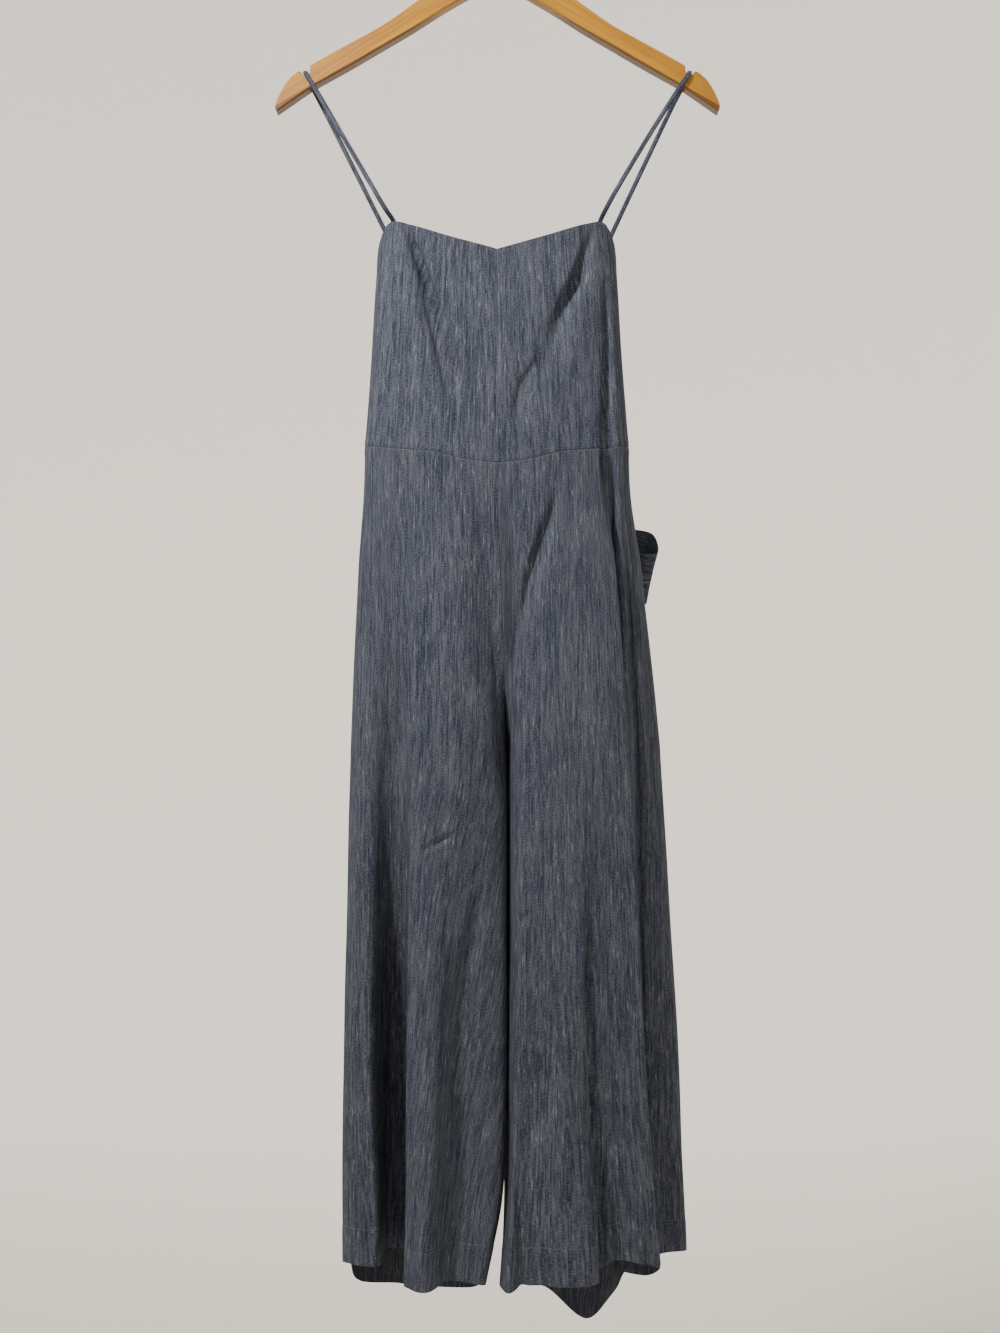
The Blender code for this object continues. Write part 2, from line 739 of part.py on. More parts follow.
def build_tie_bands(cloth):
    """The ties lie on the back bodice, from near the side seams to the knot."""
    for side in ("left", "right"):
        shares = [s for s in column_shares(side) if TIE_START_SHARE <= s <= TIE_END_SHARE[side]]
        grid = []
        for share in shares:
            z, width = read_curve(TIE_BAND, share)
            line = []
            for c in range(RIBBON_COLUMNS):
                level = z + width * (0.5 - c / (RIBBON_COLUMNS - 1))
                base = body_point(side, share, level)
                beside = body_point(side, share + 0.01, level) - body_point(side, share - 0.01, level)
                out = Vector((-beside.y, beside.x, 0.0)).normalized()
                if out.y < 0:
                    out = -out
                line.append(base + out * (TIE_LIFT + TIE_WALL))
            grid.append(line)
        normals = surface_normals(grid)
        if normals[0][0].y < 0:
            normals = [[-n for n in line] for line in normals]
        name = f"tie_band_{side}"
        add_object(name, wall_mesh(name, grid, normals, TIE_WALL), cloth)


# Hanger

def hanger_half():
    """Half of the board's outline, from the top middle round the end to the bottom middle."""
    top = curve_through([Vector((x, z)) for x, z in HANGER_TOP], 21)
    end = curve_through([Vector((x, z)) for x, z in HANGER_END], 10)
    bottom = curve_through([Vector((x, z)) for x, z in HANGER_BOTTOM], 14)
    return top + [Vector(p) for p in HANGER_NOTCH] + end + bottom


def build_hanger(wood, steel):
    half = hanger_half()
    outline = half + [Vector((-p.x, p.y)) for p in reversed(half[1:-1])]
    mesh = bpy.data.meshes.new("hanger_board")
    work = bmesh.new()
    front = [work.verts.new((p.x * MM, -HANGER_THICKNESS / 2 * MM, p.y * MM)) for p in outline]
    face = work.faces.new(front)
    grown = bmesh.ops.extrude_face_region(work, geom=[face])
    back = [v for v in grown["geom"] if isinstance(v, bmesh.types.BMVert)]
    bmesh.ops.translate(work, verts=back, vec=(0.0, HANGER_THICKNESS * MM, 0.0))
    rims = [e for e in work.edges if abs(e.verts[0].co.y - e.verts[1].co.y) < HANGER_THICKNESS * MM / 2]
    bmesh.ops.bevel(
        work, geom=rims, offset=HANGER_EDGE_ROUND * MM, segments=2, profile=0.5, affect="EDGES", clamp_overlap=True
    )
    bmesh.ops.recalc_face_normals(work, faces=work.faces)
    work.to_mesh(mesh)
    work.free()
    add_object("hanger_board", mesh, wood)
    build_hook(steel)


def hook_points():
    """The wire's centre line: round over the bearing point, then back to the stem."""
    radius = HOOK_INNER_RADIUS + HOOK_WIRE / 2
    centre_z = -HOOK_INNER_RADIUS
    points = []
    steps = 26
    for i in range(steps + 1):
        angle = math.radians(lerp(HOOK_TIP_ANGLE, HOOK_HEEL_ANGLE, i / steps))
        points.append(Vector((radius * math.cos(angle), 0.0, centre_z + radius * math.sin(angle))))
    neck = [Vector((9.0, 0.0, -35.0)), Vector((2.6, 0.0, -41.0)), Vector((0.0, 0.0, -48.0))]
    foot = Vector((0.0, 0.0, HOOK_FOOT_Z))
    heel = curve_through([points[-2], points[-1]] + neck + [foot], 15)
    return points[:-1] + heel[3:]


def build_hook(steel):
    curve = bpy.data.curves.new("hanger_hook", "CURVE")
    curve.dimensions = "3D"
    spline = curve.splines.new("POLY")
    points = hook_points()
    spline.points.add(len(points) - 1)
    for slot, point in zip(spline.points, points):
        slot.co = (*(point * MM), 1.0)
    curve.bevel_depth = HOOK_WIRE / 2 * MM
    curve.bevel_resolution = 2
    curve.use_fill_caps = True
    curve.materials.append(steel)
    hook = bpy.data.objects.new("hanger_hook", curve)
    bpy.context.scene.collection.objects.link(hook)


def main():
    for item in list(bpy.data.objects):
        bpy.data.objects.remove(item, do_unlink=True)
    cloth = make_material("Slate chambray", SLATE_CLOTH, 0.9)
    wood = make_material("Varnished honey wood", HONEY_WOOD, 0.35)
    steel = make_material("Bright steel", BRIGHT_STEEL, 0.25, 1.0)
    build_garment(cloth)
    for side in ("left", "right"):
        build_strap(side, cloth)
    build_tie_bands(cloth)
    build_bow(cloth)
    build_hanger(wood, steel)


main()
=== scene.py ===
"""Looks of the wide-leg one-piece on its wooden hanger: cloth, creases, sewing, wood and steel.

Tables and sizes are in millimetres and are scaled to metres when a mesh is made.
X runs to the right as the front is seen, +Y to the back, Z up, from the hook's bearing point.
The cloth is a finer sampling of the same named folds as the solids, with creases laid on it.
"""

import math

import bpy
import numpy as np
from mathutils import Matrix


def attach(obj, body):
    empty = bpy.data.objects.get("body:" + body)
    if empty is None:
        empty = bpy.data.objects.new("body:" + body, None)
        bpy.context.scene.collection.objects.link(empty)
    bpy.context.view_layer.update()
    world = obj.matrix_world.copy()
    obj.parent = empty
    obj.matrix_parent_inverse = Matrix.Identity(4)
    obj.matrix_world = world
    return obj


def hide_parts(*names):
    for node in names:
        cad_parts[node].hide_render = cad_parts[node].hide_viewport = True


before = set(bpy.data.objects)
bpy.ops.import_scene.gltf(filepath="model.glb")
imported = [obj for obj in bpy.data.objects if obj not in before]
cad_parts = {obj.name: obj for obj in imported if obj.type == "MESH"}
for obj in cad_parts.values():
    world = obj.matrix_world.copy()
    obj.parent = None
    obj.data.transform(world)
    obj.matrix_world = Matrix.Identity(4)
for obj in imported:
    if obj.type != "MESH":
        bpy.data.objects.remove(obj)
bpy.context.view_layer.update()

MM = 0.001
BODY = "root"
OUTWARD_X = {"left": -1.0, "right": 1.0}

# Camera: level, 1.2 m in front of the hanger's plane, 1200 pixels of focal length on a 1000 wide frame
CAMERA_PLACE = (0.0025, -1.2, -0.7745)
SENSOR_WIDTH = 36.0
FOCAL_LENGTH = 43.2

# Stage: floor below the hems and a pale bowl far round it, whose material glows as painted light
FLOOR_Z = -2.1
BOWL_FLAT = 2.9
BOWL_CURVE = 1.2
BOWL_HEIGHT = 6.5
BOWL_STEPS = 16
BOWL_TURNS = 96
STAGE_COLOUR = (0.80, 0.765, 0.705, 1.0)
# Painted light: the bowl's glow, full behind the garment and a small share of it in front
STAGE_GLOW = 0.72
STAGE_GLOW_FRONT = 0.06

# Light: from the upper left, a weak fill from the right and a dim sky
LIGHTS = (
    # name, place, aim, size, power, colour
    ("Key", (-0.78, -0.81, 0.46), (0.0, 0.0, -0.6), 0.25, 44.0, (1.0, 0.97, 0.93)),
    ("Fill", (1.5, -1.0, 0.3), (0.1, 0.0, -0.7), 0.8, 6.5, (1.0, 0.98, 0.96)),
)
SKY_COLOUR = (0.95, 0.97, 1.0, 1.0)
SKY_STRENGTH = 0.7

# Garment form, as the solids have it
CROTCH_Z = -855.0
CENTRE_X = -0.5
SECTION_POWER = 3.0
SECTION_MIDDLE = 0.45
DRAPE_FADE = 0.1
SECTION_LEVELS = (
    # z, half_width, front_y, back_y
    (-337, 116.5, -27, 38), (-406, 121.8, -31, 44), (-462, 125, -34, 48), (-519, 129, -36, 52),
    (-565, 132.5, -38, 56), (-630, 136, -40, 58),
)
WAIST_LINE = (
    # share, z
    (0, -576.5), (0.11, -572), (0.19, -565.5), (0.28, -562.5), (0.5, -557), (0.62, -575), (0.8, -612),
    (1, -625),
)
TOP_LINE = (
    # share, z
    (0, -366.5), (0.19, -352), (0.33, -340), (0.385, -336.5), (0.415, -339.5), (0.445, -352), (0.48, -370),
    (0.54, -392), (0.65, -411), (0.8, -424), (1, -431),
)
DRAPES = (
    # z, x, half_width, depth of each groove
    (
        (-343, -87, 4, 1), (-372, -79, 5, 4.5), (-406, -68.5, 6, 5.5), (-452, -55, 8, 5), (-498, -43, 9, 3.5),
        (-545, -39, 10, 0),
    ),
    (
        (-345, 93, 5, 1), (-373, 83, 6, 4), (-400, 75, 8, 5.5), (-420, 65.5, 9, 5), (-445, 61, 8, 3),
        (-496, 66, 8, 0),
    ),
    (
        (-370, 106, 5, 0), (-440, 108, 5, 2.5), (-520, 108.5, 5, 4), (-565, 109, 5, 5),
    ),
)
LEG_FOLDS = {
    "left": (
        # name, share, crotch_x, crotch_y, knee_x, knee_y, hem_x, hem_y, hem_z
        ("centre_front", 0, 8.5, 5, 1, 8, -18, 8, -1392),
        ("inner_fold", 0.05, 5, -31, 6.2, -40, -15, -47, -1369),
        ("inner_valley", 0.12, -22, -46, -37, -44, -44, -42, -1368),
        ("front_ridge", 0.22, -60, -50, -65, -60, -70, -64, -1366),
        ("lobe_edge", 0.295, -84, -44, -86.5, -49, -88, -49, -1367),
        ("turn_back", 0.32, -91, -29, -83, 2, -82, 4, -1363),
        ("recess", 0.35, -105, -22, -106, 12, -111, 16, -1364),
        ("outer_lobe", 0.4, -126, -27, -126, -35, -118, -35, -1357),
        ("outer_edge", 0.46, -145, -7, -153, -7, -153, -6, -1367),
        ("side_seam", 0.51, -147, 14, -152, 22, -151, 28, -1382),
        ("back_corner", 0.62, -132, 42, -144, 62, -146, 80, -1430),
        ("back_outer", 0.74, -96, 60, -104, 78, -108, 91, -1437),
        ("back_valley", 0.86, -50, 64, -56, 60, -62, 68, -1430),
        ("back_inner", 0.95, -4, 46, -17, 50, -26, 56, -1424),
        ("centre_back", 1, 8.5, 5, 1, 8, -18, 8, -1392),
    ),
    "right": (
        # name, share, crotch_x, crotch_y, knee_x, knee_y, hem_x, hem_y, hem_z
        ("centre_front", 0, 9.5, 5, 7.2, 8, 6, 8, -1392),
        ("inner_fold", 0.05, 15, -31, 12.6, -40, 4, -47, -1371),
        ("inner_lobe", 0.085, 23, -42, 17, -53, 11, -60, -1370),
        ("inner_valley", 0.12, 35, -47, 28, -52, 23, -53, -1367),
        ("front_ridge", 0.19, 57, -50, 59, -60, 60, -64, -1363),
        ("lobe_edge", 0.245, 79, -50, 91.5, -53, 100, -54, -1364),
        ("turn_back", 0.27, 90, -49, 95, -42, 98, -40, -1364),
        ("recess", 0.295, 101, -48, 107, -36, 114, -32, -1353),
        ("outer_lobe", 0.325, 116, -46, 128, -32, 143.5, -24, -1361),
        ("main_fold", 0.35, 128, -39, 146.5, -27, 161, -11, -1368),
        ("tuck", 0.375, 131, -24, 143, 2, 152, 33, -1400),
        ("tuck_end", 0.395, 135, -14, 136, 16, 122, 42, -1397),
        ("side_seam", 0.42, 144, -9, 155, 24, 160, 54, -1389),
        ("outer_edge", 0.47, 162, 8, 185, 36, 197, 63, -1389),
        ("outer_turn", 0.54, 165, 25, 188, 56, 195, 82, -1398),
        ("back_corner", 0.62, 148, 46, 159, 74, 144, 99, -1422),
        ("back_turn", 0.69, 128, 56, 134, 80, 126, 102, -1451),
        ("back_point", 0.78, 96, 62, 102, 72, 97, 90, -1475),
        ("back_valley", 0.87, 54, 64, 54, 71, 51, 84, -1438),
        ("back_inner", 0.95, 14, 46, 18, 48, 17, 56, -1420),
        ("centre_back", 1, 9.5, 5, 7.2, 8, 6, 8, -1392),
    ),
}

# How the fold lines run between those places, and how the legs interlock at the crotch
KNEE_STEP = 1.65
SHIN_STEP = 1.84
SHIN_SWING = 0.54
INNER_SHIN_SWING = 0.2
SEAM_LATE = 5.0
LEG_PARTS = 0.8
LEG_PARTING = 0.25
FOLDS_FORM = 0.4
BACK_SEAM_SWAY = 4.0
CROTCH_X = 9.0
CROTCH_TUCK_X = 1.0
CROTCH_TUCK_Y = 7.0
CROTCH_SPREAD_LATE = 40
TUCK_FROM = 0.96
TUCK_RISE = 0.06
TUCK_TO = 1.4
TUCK_FALL = 0.2
SEAM_GAP = 0.3

# Fineness of the cloth
COLUMNS_PER_FOLD = {"left": 15, "right": 11}
BODICE_ROWS = 120
UPPER_LEG_ROWS = 100
LOWER_LEG_ROWS = 170
CLOTH_THICKNESS = 1.0
RIM_ANGLE = math.radians(60.0)

# Sewn edges: how deep the seams draw in, how wide, and the turned hem
SEAM_DRAW = 0.4
SEAM_REACH = 1.2
SEAM_END = 30.0
WAIST_DRAW = 0.25
WAIST_ROLL = 5.0
WAIST_ROLL_REACH = 3.0
HEM_TURN = 36.0
HEM_SWELL = 0.45
HEM_STEP = 2.0
TOP_TURN = 7.0

# Creases: paths over the cloth; height above the cloth is negative in a trough,
# and skew is how wide the right flank is beside the left one
FRONT_CREASES = {
    # x, z, half_width, height, skew where it is not 1
    "left_bust_main": (
        (-91, -346, 2.5, 0), (-80, -364, 3.2, -1.7, 0.8), (-67, -401, 3.4, -2.6, 0.8),
        (-55, -433, 3.4, -2.7, 0.8), (-40, -481, 3.6, -2.3, 0.8), (-30, -512, 5, 0),
    ),
    "left_bust_branch": (
        (-73, -405, 2.5, 0), (-69, -420, 2.6, -0.8, 0.8), (-60, -453, 2.8, -1.3, 0.8),
        (-53, -491, 3, -1, 0.8), (-43, -524, 5, 0),
    ),
    "right_bust_main": (
        (98, -343, 3, 0), (83, -371, 4.5, -1.2, 1.4), (77, -395, 7, -1.9, 1.3), (65, -418, 7.5, -2.1, 1.2),
        (56, -442, 7, -1.8), (50, -468, 5, -1), (44, -492, 5, 0),
    ),
    "right_bust_light": ((88, -357, 4, 0), (70, -392, 5, 1.3), (58, -424, 5, 0.8), (54, -446, 5, 0)),
    "right_short": (
        (42, -468, 3, 0), (36, -481, 6.5, -1.5, 1.6), (24, -500, 7.5, -1.7, 1.6), (18, -524, 7, -1.1, 1.4),
        (12, -550, 5, 0),
    ),
    "right_side": (
        (108, -378, 3, 0), (107, -452, 3.4, -1.8, 1.6), (104, -510, 3.4, -2.6, 1.6),
        (103, -548, 3.4, -3.2, 1.6), (104, -586, 3.4, -3.2, 1.6), (108, -630, 3.4, 0, 1.6),
    ),
    "hip_diagonal": (
        (60, -600, 4, 0), (52, -624, 5, -2.2, 1.5), (41, -653, 5.5, -3.4, 1.5), (29, -689, 5.5, -3.4, 1.5),
        (22, -722, 5, -2.6, 1.5), (20, -750, 4, -1.6, 1.2), (21, -785, 4, 0),
    ),
    "left_hip_band": (
        (-84, -590, 6, 0), (-88, -650, 7, -1.8, 0.5), (-89, -740, 7, -2.4, 0.5), (-90, -830, 6, -2, 0.5),
        (-90, -900, 6, 0, 0.5),
    ),
    "left_leg_valley": (
        (-14, -985, 5, 0), (-20, -1017, 6, -2.2, 0.8), (-38, -1111, 7, -3.4, 0.8),
        (-38, -1164, 7, -3.4, 0.8), (-30, -1269, 7, -2.8, 1.2), (-48, -1351, 7, -1.6, 1.2),
        (-50, -1370, 7, -1.2, 1.2),
    ),
    "right_leg_long": (
        (86, -990, 4, 0), (90, -1035, 5, -2.2, 0.7), (91, -1129, 6, -3, 0.7), (93, -1235, 6, -3.2, 0.7),
        (103, -1290, 6, -3, 0.9), (99, -1366, 6, -2.4, 0.9),
    ),
    "right_hem_thin": ((19, -1250, 3.5, 0), (21, -1298, 3.5, -1.6), (24, -1366, 4, -2)),
    "left_knee_tick": (
        (-76, -953, 2.5, 0), (-66, -948, 2.5, -1.4), (-50, -939, 2.5, -1.6), (-38, -934, 2.5, 0),
    ),
    "right_knee_tick": ((14, -1028, 3, 0), (24, -1017, 3, -1.4), (40, -1003, 3, 0)),
    "left_knee_wave": ((-80, -1158, 7, 0), (-62, -1166, 7, 0.7), (-30, -1168, 7, 0)),
    "right_knee_wave": ((22, -1160, 6, 0), (46, -1166, 7, -0.8), (78, -1162, 6, 0)),
    "crotch_left_pull": ((-2, -752, 4, 0), (1, -806, 4, -2.2), (4, -846, 4, -2.4), (7, -900, 4, 0)),
    "crotch_left_rise": ((-30, -770, 8, 0), (-14, -820, 8, 1.6), (-8, -880, 8, 0)),
    "crotch_right_dent": ((14, -800, 4, 0), (18, -838, 5, -1.8), (16, -880, 4, 0)),
    "crotch_right_pull": ((42, -830, 6, 0), (28, -870, 6, -1.4), (22, -920, 6, 0)),
    "left_front_soft": (
        (-58, -880, 10, 0), (-62, -1010, 12, 1.2), (-66, -1180, 12, 1.6), (-70, -1368, 12, 1.6),
    ),
    "right_front_soft": (
        (50, -800, 10, 0), (52, -960, 11, -1), (46, -1110, 11, -1.4), (44, -1260, 11, -1),
        (44, -1368, 11, -1.4),
    ),
    "left_outer_soft": ((-122, -640, 8, 0), (-128, -760, 8, -1), (-132, -900, 8, 0)),
}
BACK_CREASES = {
    # x, z, half_width, height, skew where it is not 1
    "left_strap_pull": ((-84, -428, 4, 0), (-74, -452, 5, -1.8), (-58, -500, 6, -2.2), (-40, -560, 6, 0)),
    "right_strap_pull": ((88, -430, 4, 0), (82, -462, 5, -2.2), (70, -520, 6, -1.8), (64, -572, 6, 0)),
    "waist_slack": ((-70, -556, 5, 0), (-30, -566, 6, 1.4), (20, -563, 6, 1), (52, -552, 5, 0)),
    "left_seat": ((-12, -640, 6, 0), (-34, -700, 8, -2.2), (-46, -790, 8, -2.6), (-44, -880, 7, 0)),
    "right_seat": ((26, -650, 6, 0), (46, -720, 8, -2.4), (56, -800, 8, -1.8), (60, -900, 7, 0)),
    "left_back_long": (
        (-88, -800, 8, 0), (-84, -960, 9, -2.6, 0.8), (-82, -1180, 10, -3.4, 0.8),
        (-86, -1428, 10, -3, 0.8),
    ),
    "right_back_long": (
        (104, -760, 8, 0), (116, -940, 9, -2.2, 1.2), (112, -1160, 10, -3.4, 1.2),
        (116, -1440, 10, -3, 1.2),
    ),
    "right_back_inner": (
        (36, -930, 7, 0), (34, -1080, 8, -2.4), (36, -1260, 8, -2.8), (30, -1430, 8, -2.2),
    ),
    "left_knee_back": ((-120, -1040, 4, 0), (-100, -1030, 5, -1.3), (-70, -1036, 4, 0)),
    "right_knee_back": ((60, -1090, 4, 0), (86, -1078, 5, -1.3), (112, -1084, 4, 0)),
}
FOLD_CREASES = {
    # side, fold name, offset along the round, half_width, height, from z, to z
    "left_lobe_edge": ("left", "lobe_edge", -3, 5, 2, -860, -1400),
    "left_lobe_groove": ("left", "lobe_edge", 5, 3.6, -5, -860, -1400),
    "left_outer_lobe": ("left", "outer_lobe", -6, 7, 2, -900, -1400),
    "right_main_edge": ("right", "main_fold", -3, 4.5, 2.4, -600, -1400),
    "right_main_groove": ("right", "main_fold", 5, 4.2, -11, -540, -1400),
    "right_side_groove": ("right", "side_seam", -6, 3, -4, -600, -1400),
    "right_lobe_groove": ("right", "turn_back", -6, 4, -7, -980, -1400),
    "right_lobe_edge": ("right", "lobe_edge", 0, 6, 1.6, -960, -1400),
}
CREASE_SCALE = 2.1
SKEW_LIMIT = 2.5
FOLD_CREASE_RISE = 110.0
FOLD_CREASE_END = 12.0
RIPPLE_HEIGHT = 0.6

# Creases fade towards the side seams, and towards the centre lines from just above the crotch
SIDE_FADE = 16.0
CENTRE_FADE = 14.0
CALM_FROM_Z = -780.0
CALM_DROP = 40.0

# Grain of the cloth: the inner front of the left leg swings in, so its threads lean
LEAN_FROM_Z = -820.0
LEAN_FULL_DROP = 540.0
LEAN_ONSET = 160.0
LEAN_SHEAR = 0.10
LEAN_DRAW_IN = 0.30

# Straps: width, thickness and the way of each centre line, as the solids have them
STRAP_WIDTH = 4.8
STRAP_THICKNESS = 2.6
STRAP_ROUTES = {
    "left": (
        # x, y, z
        (-111, -23.4, -324), (-140.5, -16.4, -272), (-170.5, -10.4, -219), (-183, -8.6, -197.5),
        (-188.8, -8.1, -188.4), (-190.8, -7, -183.9), (-191.4, -4.2, -182.5), (-191.4, 4.2, -182.5),
        (-190.8, 7, -183.9), (-188, 8.1, -189), (-181.5, 9.6, -200.5), (-150, 19, -261), (-118, 29, -323),
        (-86, 38.5, -386),
    ),
    "right": (
        # x, y, z
        (108.5, -23.6, -322), (137.5, -16.4, -270.5), (168.5, -10.4, -219), (182.2, -8.6, -197.5),
        (188.6, -8.1, -188.4), (190.8, -7, -183.9), (191.4, -4.2, -182.5), (191.4, 4.2, -182.5),
        (190.8, 7, -183.9), (187.6, 8.1, -189), (181, 9.6, -200.5), (152, 19, -259), (121.5, 29, -322),
        (92, 38.4, -384),
    ),
}
STRAP_FRONT_SHARE = 0.388
STRAP_BACK_SHARE = 0.765
STRAP_POWER = 0.8
STRAP_SIDES = 14
STRAP_SLIT = 0.02
STRAP_SAMPLES = 220
STRAP_TUCK = 7.0
STRAP_CLOTH = 0.5

# Where the cloth map of each kind of small piece starts, so that no two kinds show the same slubs
MAP_STARTS = {"strap": 40.0, "loop": 200.0, "tail": 400.0, "knot": 600.0, "band": 800.0}

# Tie: ribbon round the back waist with a bow
TIE_LIFT = 0.4
TIE_WALL = 1.6
TIE_START_SHARE = 0.58
TIE_END_SHARE = {"left": 0.985, "right": 0.955}
TIE_BAND = (
    # share, z, width
    (0.58, -550, 26), (0.7, -571, 26), (0.8, -589, 25), (0.9, -599, 22), (0.96, -602, 18),
)
KNOT_CENTRE = (8.0, 68.6, -605.0)
KNOT_HALF = (11.0, 9.0, 13.0)
KNOT_SWELL = 1.15
KNOT_ROUND = 0.75
KNOT_FIT = 0.95
KNOT_POWER = 0.72
KNOT_END = 0.04
KNOT_FINENESS = (44, 72)
BOW_LOOPS = {
    "right": (
        # x, y, z, width, lean
        (20.5, 64, -607, 11, 0), (48, 65, -616, 34, 0), (90, 65, -637, 50, 3), (128, 57, -670, 46, 6),
        (151, 51, -683, 51, 9), (163, 58, -682, 54, 11), (158, 71, -666, 63, 10), (128, 80, -653, 54, 6),
        (90, 82, -632, 42, 0), (48, 78, -612, 27, 0), (20.5, 71.5, -604, 10, 0),
    ),
    "left": (
        # x, y, z, width, lean
        (-5.6, 64, -608, 11, 0), (-30, 66, -617, 34, 0), (-66, 66, -637, 46, 0), (-98, 66, -657, 48, 0),
        (-119, 69, -671, 48, 0), (-125, 77, -675, 48, 0), (-118, 85, -671, 48, 0), (-96, 88, -656, 46, 0),
        (-64, 87, -635, 40, 0), (-30, 79, -613, 27, 0), (-5.6, 71.5, -604, 10, 0),
    ),
}
LOOP_ACROSS = {"left": (0.45, 0.0, -1.0), "right": (-0.2, 0.0, -1.0)}
BOW_TAILS = {
    "right": (
        # x, y, z, width, lean
        (13, 65.5, -618.3, 13, 0), (19, 67, -650, 32, 0), (28, 70, -700, 44, 0), (36, 72, -760, 46, 0),
        (42, 76, -820, 46, 0), (46, 78, -880, 46, 0),
    ),
    "left": (
        # x, y, z, width, lean
        (3, 72, -618.2, 13, 0), (-4, 76, -650, 32, 0), (-15, 79, -700, 44, 0), (-24, 80, -750, 46, 0),
        (-31, 81, -800, 46, 0), (-36, 81, -845, 46, 0),
    ),
}
TAIL_ACROSS = {"left": (1.0, 0.0, -0.16), "right": (1.0, 0.0, 0.12)}
RIBBON_THICKNESS = 1.2
RIBBON_COLUMNS = 24
LOOP_SAMPLES = 200
TAIL_SAMPLES = 120
PLEAT_COUNT = 2.5
PLEAT_HEIGHT = 1.8
PLEAT_REACH = 42.0
BAND_PLEAT = 0.45
BAND_WAVE = 0.25
BAND_SAMPLES = 90
GATHER_FROM = 0.80
GATHER_SPAN = 0.16
RIBBON_SWAY = 0.8
SWAY_LENGTH = 23.0
PLEAT_ONSET = 12.0

# Sheets: the flat cut of what shows of each piece, in metres, and how it is held
HUNG = ("hung", "hanger_board")
SHEETS = {
    # width, length, area, held, rests_on
    "front_bodice": (0.290, 0.240, 0.058, *HUNG),
    "back_bodice": (0.300, 0.250, 0.056, *HUNG),
    "front_leg_left": (0.355, 0.830, 0.215, *HUNG),
    "front_leg_right": (0.365, 0.830, 0.195, *HUNG),
    "back_leg_left": (0.235, 0.880, 0.175, *HUNG),
    "back_leg_right": (0.300, 0.900, 0.215, *HUNG),
    "strap": (0.012, 0.530, 0.0063, *HUNG),
    "tie_band": (0.026, 0.130, 0.0030, "laid", "back_bodice"),
    "bow_loop": (0.066, 0.320, 0.0135, "folded", "bow_knot"),
    "bow_tail": (0.046, 0.270, 0.0110, "hung", "bow_knot"),
}

# Sewing thread
STITCH_PITCH = 3.3
STITCH_LENGTH = 2.5
STITCH_RADIUS = 0.17
STITCH_LIFT = 0.6
SEAM_STITCH_DROP = 1.6

# Cloth colours and thread sizes in millimetres
CLOTH_BASE = (0.090, 0.099, 0.124, 1.0)
CLOTH_LIGHT = (0.215, 0.218, 0.230, 1.0)
CLOTH_DARK = (0.012, 0.017, 0.034, 1.0)
THREAD_PALE = (0.12, 0.13, 0.155)
# Painted shade: the share by which the inner face of the garment panels is darkened
INSIDE_PAINTED_SHADE = 0.45
CRUMPLE_GROWS = (900.0, 1250.0)
CRUMPLE_GROWTH = 0.9
YARN_SETS = (
    # width, length, seed, weight in the tone
    (0.95, 55.0, 0.0, 1.3),
    (0.95, 14.0, 31.0, 1.0),
    (2.1, 38.0, 57.0, 0.5),
)
CLOTH_GRAINS = (
    # across, along, seed, detail, weight in the tone: weft, grit, band and patch
    (3.2, 0.9, 5.0, 1.0, 1.1),
    (0.9, 1.3, 7.0, 1.0, 0.9),
    (9.0, 150.0, 3.0, 2.0, 0.4),
    (30.0, 60.0, 9.0, 2.0, 0.3),
)

# Wood and steel
WOOD_PALE = (0.40, 0.190, 0.012, 1.0)
WOOD_TAN = (0.25, 0.100, 0.005, 1.0)
# Dark colour of the pores, and of the painted shade on the arms' underside
WOOD_PORES_AND_SHADE = (0.060, 0.020, 0.005, 1.0)
ARM_ANGLE = math.radians(32.5)
# Painted shade: the arms' lower edge line, below which the wood is darkened as if lit from above
UNDERSIDE_ALONG = 0.1446
UNDERSIDE_ACROSS = -0.0725
UNDERSIDE_SLOPE = 0.047
UNDERSIDE_PAINTED_SHADE_EDGE = (0.0006, 0.0022)
TIP_FADE = (0.262, 0.292)
STEEL_COLOUR = (0.62, 0.62, 0.63)


def lerp(a, b, t):
    return a + (b - a) * t


def smooth(t):
    t = np.clip(t, 0.0, 1.0)
    return t * t * (3.0 - 2.0 * t)


def hermite(a, b, slope_a, slope_b, t):
    t2 = t * t
    t3 = t2 * t
    start = a * (2 * t3 - 3 * t2 + 1) + slope_a * (t3 - 2 * t2 + t)
    return start + b * (3 * t2 - 2 * t3) + slope_b * (t3 - t2)


def read_curve(table, keys):
    """Each later column of a table at the keys, on smooth curves through its rows."""
    rows = np.array(table, dtype=float)
    if rows[0, 0] > rows[-1, 0]:
        rows = rows[::-1]
    knots = rows[:, 0]
    last = len(knots) - 1
    keys = np.clip(np.asarray(keys, dtype=float), knots[0], knots[-1])
    at = np.clip(np.searchsorted(knots, keys, side="right") - 1, 0, last - 1)
    span = knots[at + 1] - knots[at]
    t = (keys - knots[at]) / span
    low = np.maximum(np.arange(last + 1) - 1, 0)
    high = np.minimum(np.arange(last + 1) + 1, last)
    values = []
    for column in rows.T[1:]:
        slope = (column[high] - column[low]) / (knots[high] - knots[low])
        values.append(hermite(column[at], column[at + 1], slope[at] * span, slope[at + 1] * span, t))
    return values


def spline_between(points, t):
    """A place between points[1] and points[2], on a curve that rounds long and short gaps evenly."""
    before, first, second, after = points
    gap = [
        np.sqrt(np.maximum(np.linalg.norm(q - p, axis=-1, keepdims=True), 1e-6))
        for p, q in ((before, first), (first, second), (second, after))
    ]
    leave = ((first - before) / gap[0] - (second - before) / (gap[0] + gap[1])) * gap[1] + second - first
    arrive = ((after - second) / gap[2] - (after - first) / (gap[1] + gap[2])) * gap[1] + second - first
    return hermite(first, second, leave, arrive, t)


